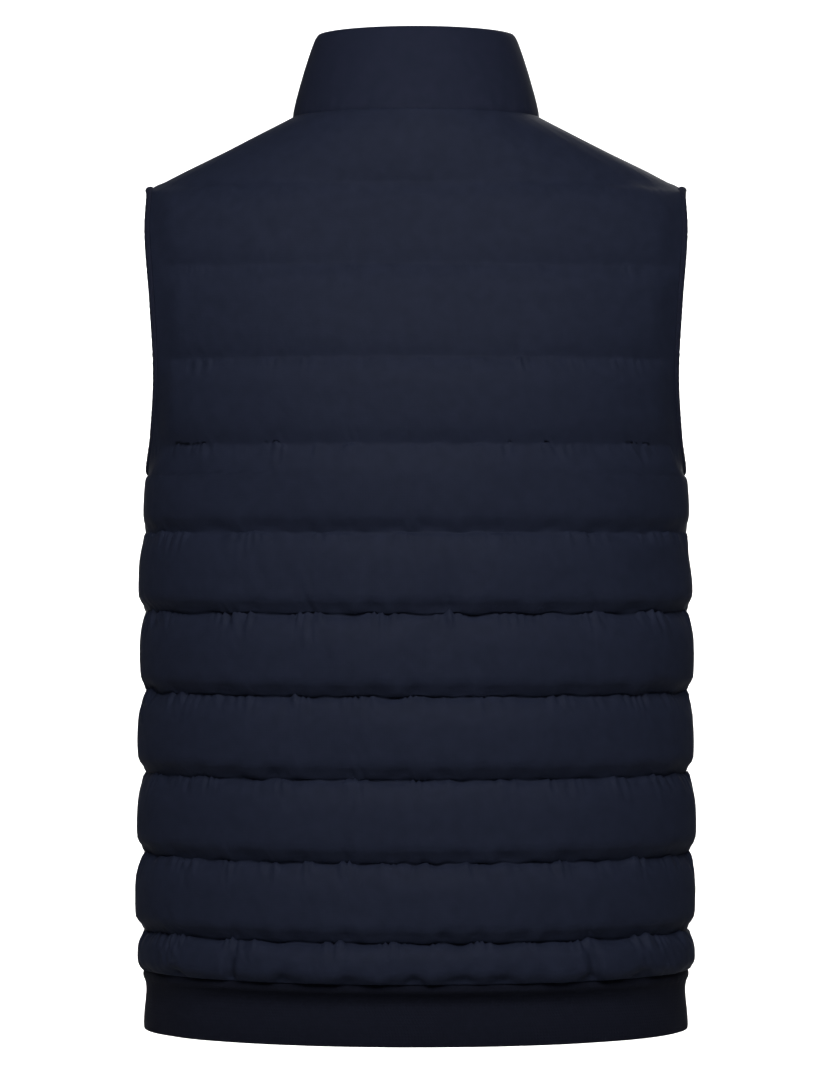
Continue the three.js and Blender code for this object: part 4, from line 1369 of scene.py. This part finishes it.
def make_slider():
    plate = (2 * SLIDER_HALF_WIDTH, PLATE, SLIDER_HEIGHT)
    wedge = (WEDGE, REAR_PLATE_FRONT - PLATE_BACK + 2 * PLATE, WEDGE)
    wedge_at = (0, (PLATE_BACK + REAR_PLATE_FRONT) / 2, (SLIDER_HEIGHT - WEDGE) / 2)
    bridge = (BRIDGE["width"], PLATE, BRIDGE["height"])
    post = (BRIDGE["width"], PLATE_BACK - BRIDGE_FRONT, BRIDGE["post"])
    post_y, post_z = (PLATE_BACK + BRIDGE_FRONT) / 2, (BRIDGE["height"] - BRIDGE["post"]) / 2
    parts = [
        (plate, (0, PLATE_BACK - PLATE / 2, 0), 0.4, 0.8),
        (plate, (0, REAR_PLATE_FRONT + PLATE / 2, 0), 0.4, 0.8),
        (wedge, wedge_at, 0.3, 0.6),
        (bridge, (0, BRIDGE_FRONT + PLATE / 2, 0), 0.45, 1),
        (post, (0, post_y, post_z), 0.35, 1),
        (post, (0, post_y, -post_z), 0.35, 1),
    ]
    bm = bmesh.new()
    joined(bm, parts)
    bmesh.ops.transform(bm, matrix=slider_frame(), verts=bm.verts)
    bmesh.ops.recalc_face_normals(bm, faces=bm.faces)
    return finish_mesh(bm, "slider", ZINC)


def make_zip_box():
    drop = ZIP_BOTTOM - BOX_HEIGHT / 2
    centre = (0, -float(middle_depth(drop)) + CHAIN_BEHIND + TOOTH_DEPTH / 2, -drop)
    bm = bmesh.new()
    joined(bm, [((6, TOOTH_DEPTH + 1.2, BOX_HEIGHT), centre, 0.5, 1)])
    bmesh.ops.recalc_face_normals(bm, faces=bm.faces)
    return finish_mesh(bm, "zip_end_box", ZINC)


slider = hand_over(make_slider(), "zip_slider")
box = hand_over(make_zip_box(), "zip_box")
print("slider", [round(v, 4) for v in slider.dimensions], "box", [round(v, 4) for v in box.dimensions])

# %% [markdown]
# The pull is a flat tab with an eye. It is stamped and lacquered like the slider, so it is drawn as a
# plate between two outlines, given its thickness and softened at the rims. Its top bar turns under the
# bridge, so it is the one piece that moves with a body of its own.

# %% Pull
PULL_LENGTH, PULL_HALF_WIDTH, PULL_BAR = 27, 3.8, 1.2
EYE_HALF_WIDTH = PULL_HALF_WIDTH - 2
EYE_BOTTOM = -SLIDER_HEIGHT / 2 - 0.6
# The power that turns a circle into a rectangle with rounded corners.
SQUARENESS = 0.3


def rounded_ring(bm, half_width, top, bottom):
    """A ring of vertices on an upright rectangle with rounded corners, given in millimetres."""
    ring = bmesh.ops.create_circle(bm, segments=40, radius=MM)["verts"]
    middle, half = (top + bottom) / 2, (top - bottom) / 2
    for vert in ring:
        c, s = vert.co.x / MM, vert.co.y / MM
        x = half_width * math.copysign(abs(c) ** SQUARENESS, c)
        z = middle + half * math.copysign(abs(s) ** SQUARENESS, s)
        vert.co = Vector((x, 0, z)) * MM


def make_pull():
    """A plate between an outer outline and the eye, given its thickness and then soft edges."""
    bm = bmesh.new()
    rounded_ring(bm, PULL_HALF_WIDTH, PULL_BAR / 2, -PULL_LENGTH)
    rounded_ring(bm, EYE_HALF_WIDTH, -PULL_BAR / 2, EYE_BOTTOM)
    plate = bmesh.ops.bridge_loops(bm, edges=bm.edges[:])["faces"]
    made = bmesh.ops.extrude_face_region(bm, geom=plate)["geom"]
    moved = [v for v in made if isinstance(v, bmesh.types.BMVert)]
    bmesh.ops.translate(bm, vec=(0, PULL_THICKNESS * MM, 0), verts=moved)
    bmesh.ops.recalc_face_normals(bm, faces=bm.faces)
    rims = [e for e in bm.edges if len(e.link_faces) == 2 and e.calc_face_angle() > 1]
    soften(bm, 0.28, 3, rims)
    bmesh.ops.translate(bm, vec=(0, -PULL_THICKNESS / 2 * MM, 0), verts=bm.verts)
    axis_point = slider_frame() @ (Vector((0, PULL_AXIS, 0)) * MM)
    bmesh.ops.translate(bm, vec=axis_point, verts=bm.verts)
    bmesh.ops.recalc_face_normals(bm, faces=bm.faces)
    return finish_mesh(bm, "pull_tab", ZINC)


pull = hand_over(make_pull(), "zip_pull", body="pull")
print("pull", [round(v, 3) for v in pull.dimensions])

# %% [markdown]
# Each cloth strip is listed with the flat size that shows, in metres. All of them are held stretched by
# their stitching, and each rests on the panels that it is sewn to, which are listed with it.

PANELS = ["back_quilting", "front_left_quilting", "front_right_quilting"]
for strip, width, length, rests in (
    (collar, 0.53, 0.08, PANELS),
    (band, 1.06, 0.05, PANELS),
    (bindings[0], 0.56, 0.012, PANELS[:2]),
    (bindings[1], 0.56, 0.012, PANELS[::2]),
    (tapes[0], 0.0105, 0.692, PANELS[1:2]),
    (tapes[1], 0.0105, 0.692, PANELS[2:]),
):
    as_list(rests)
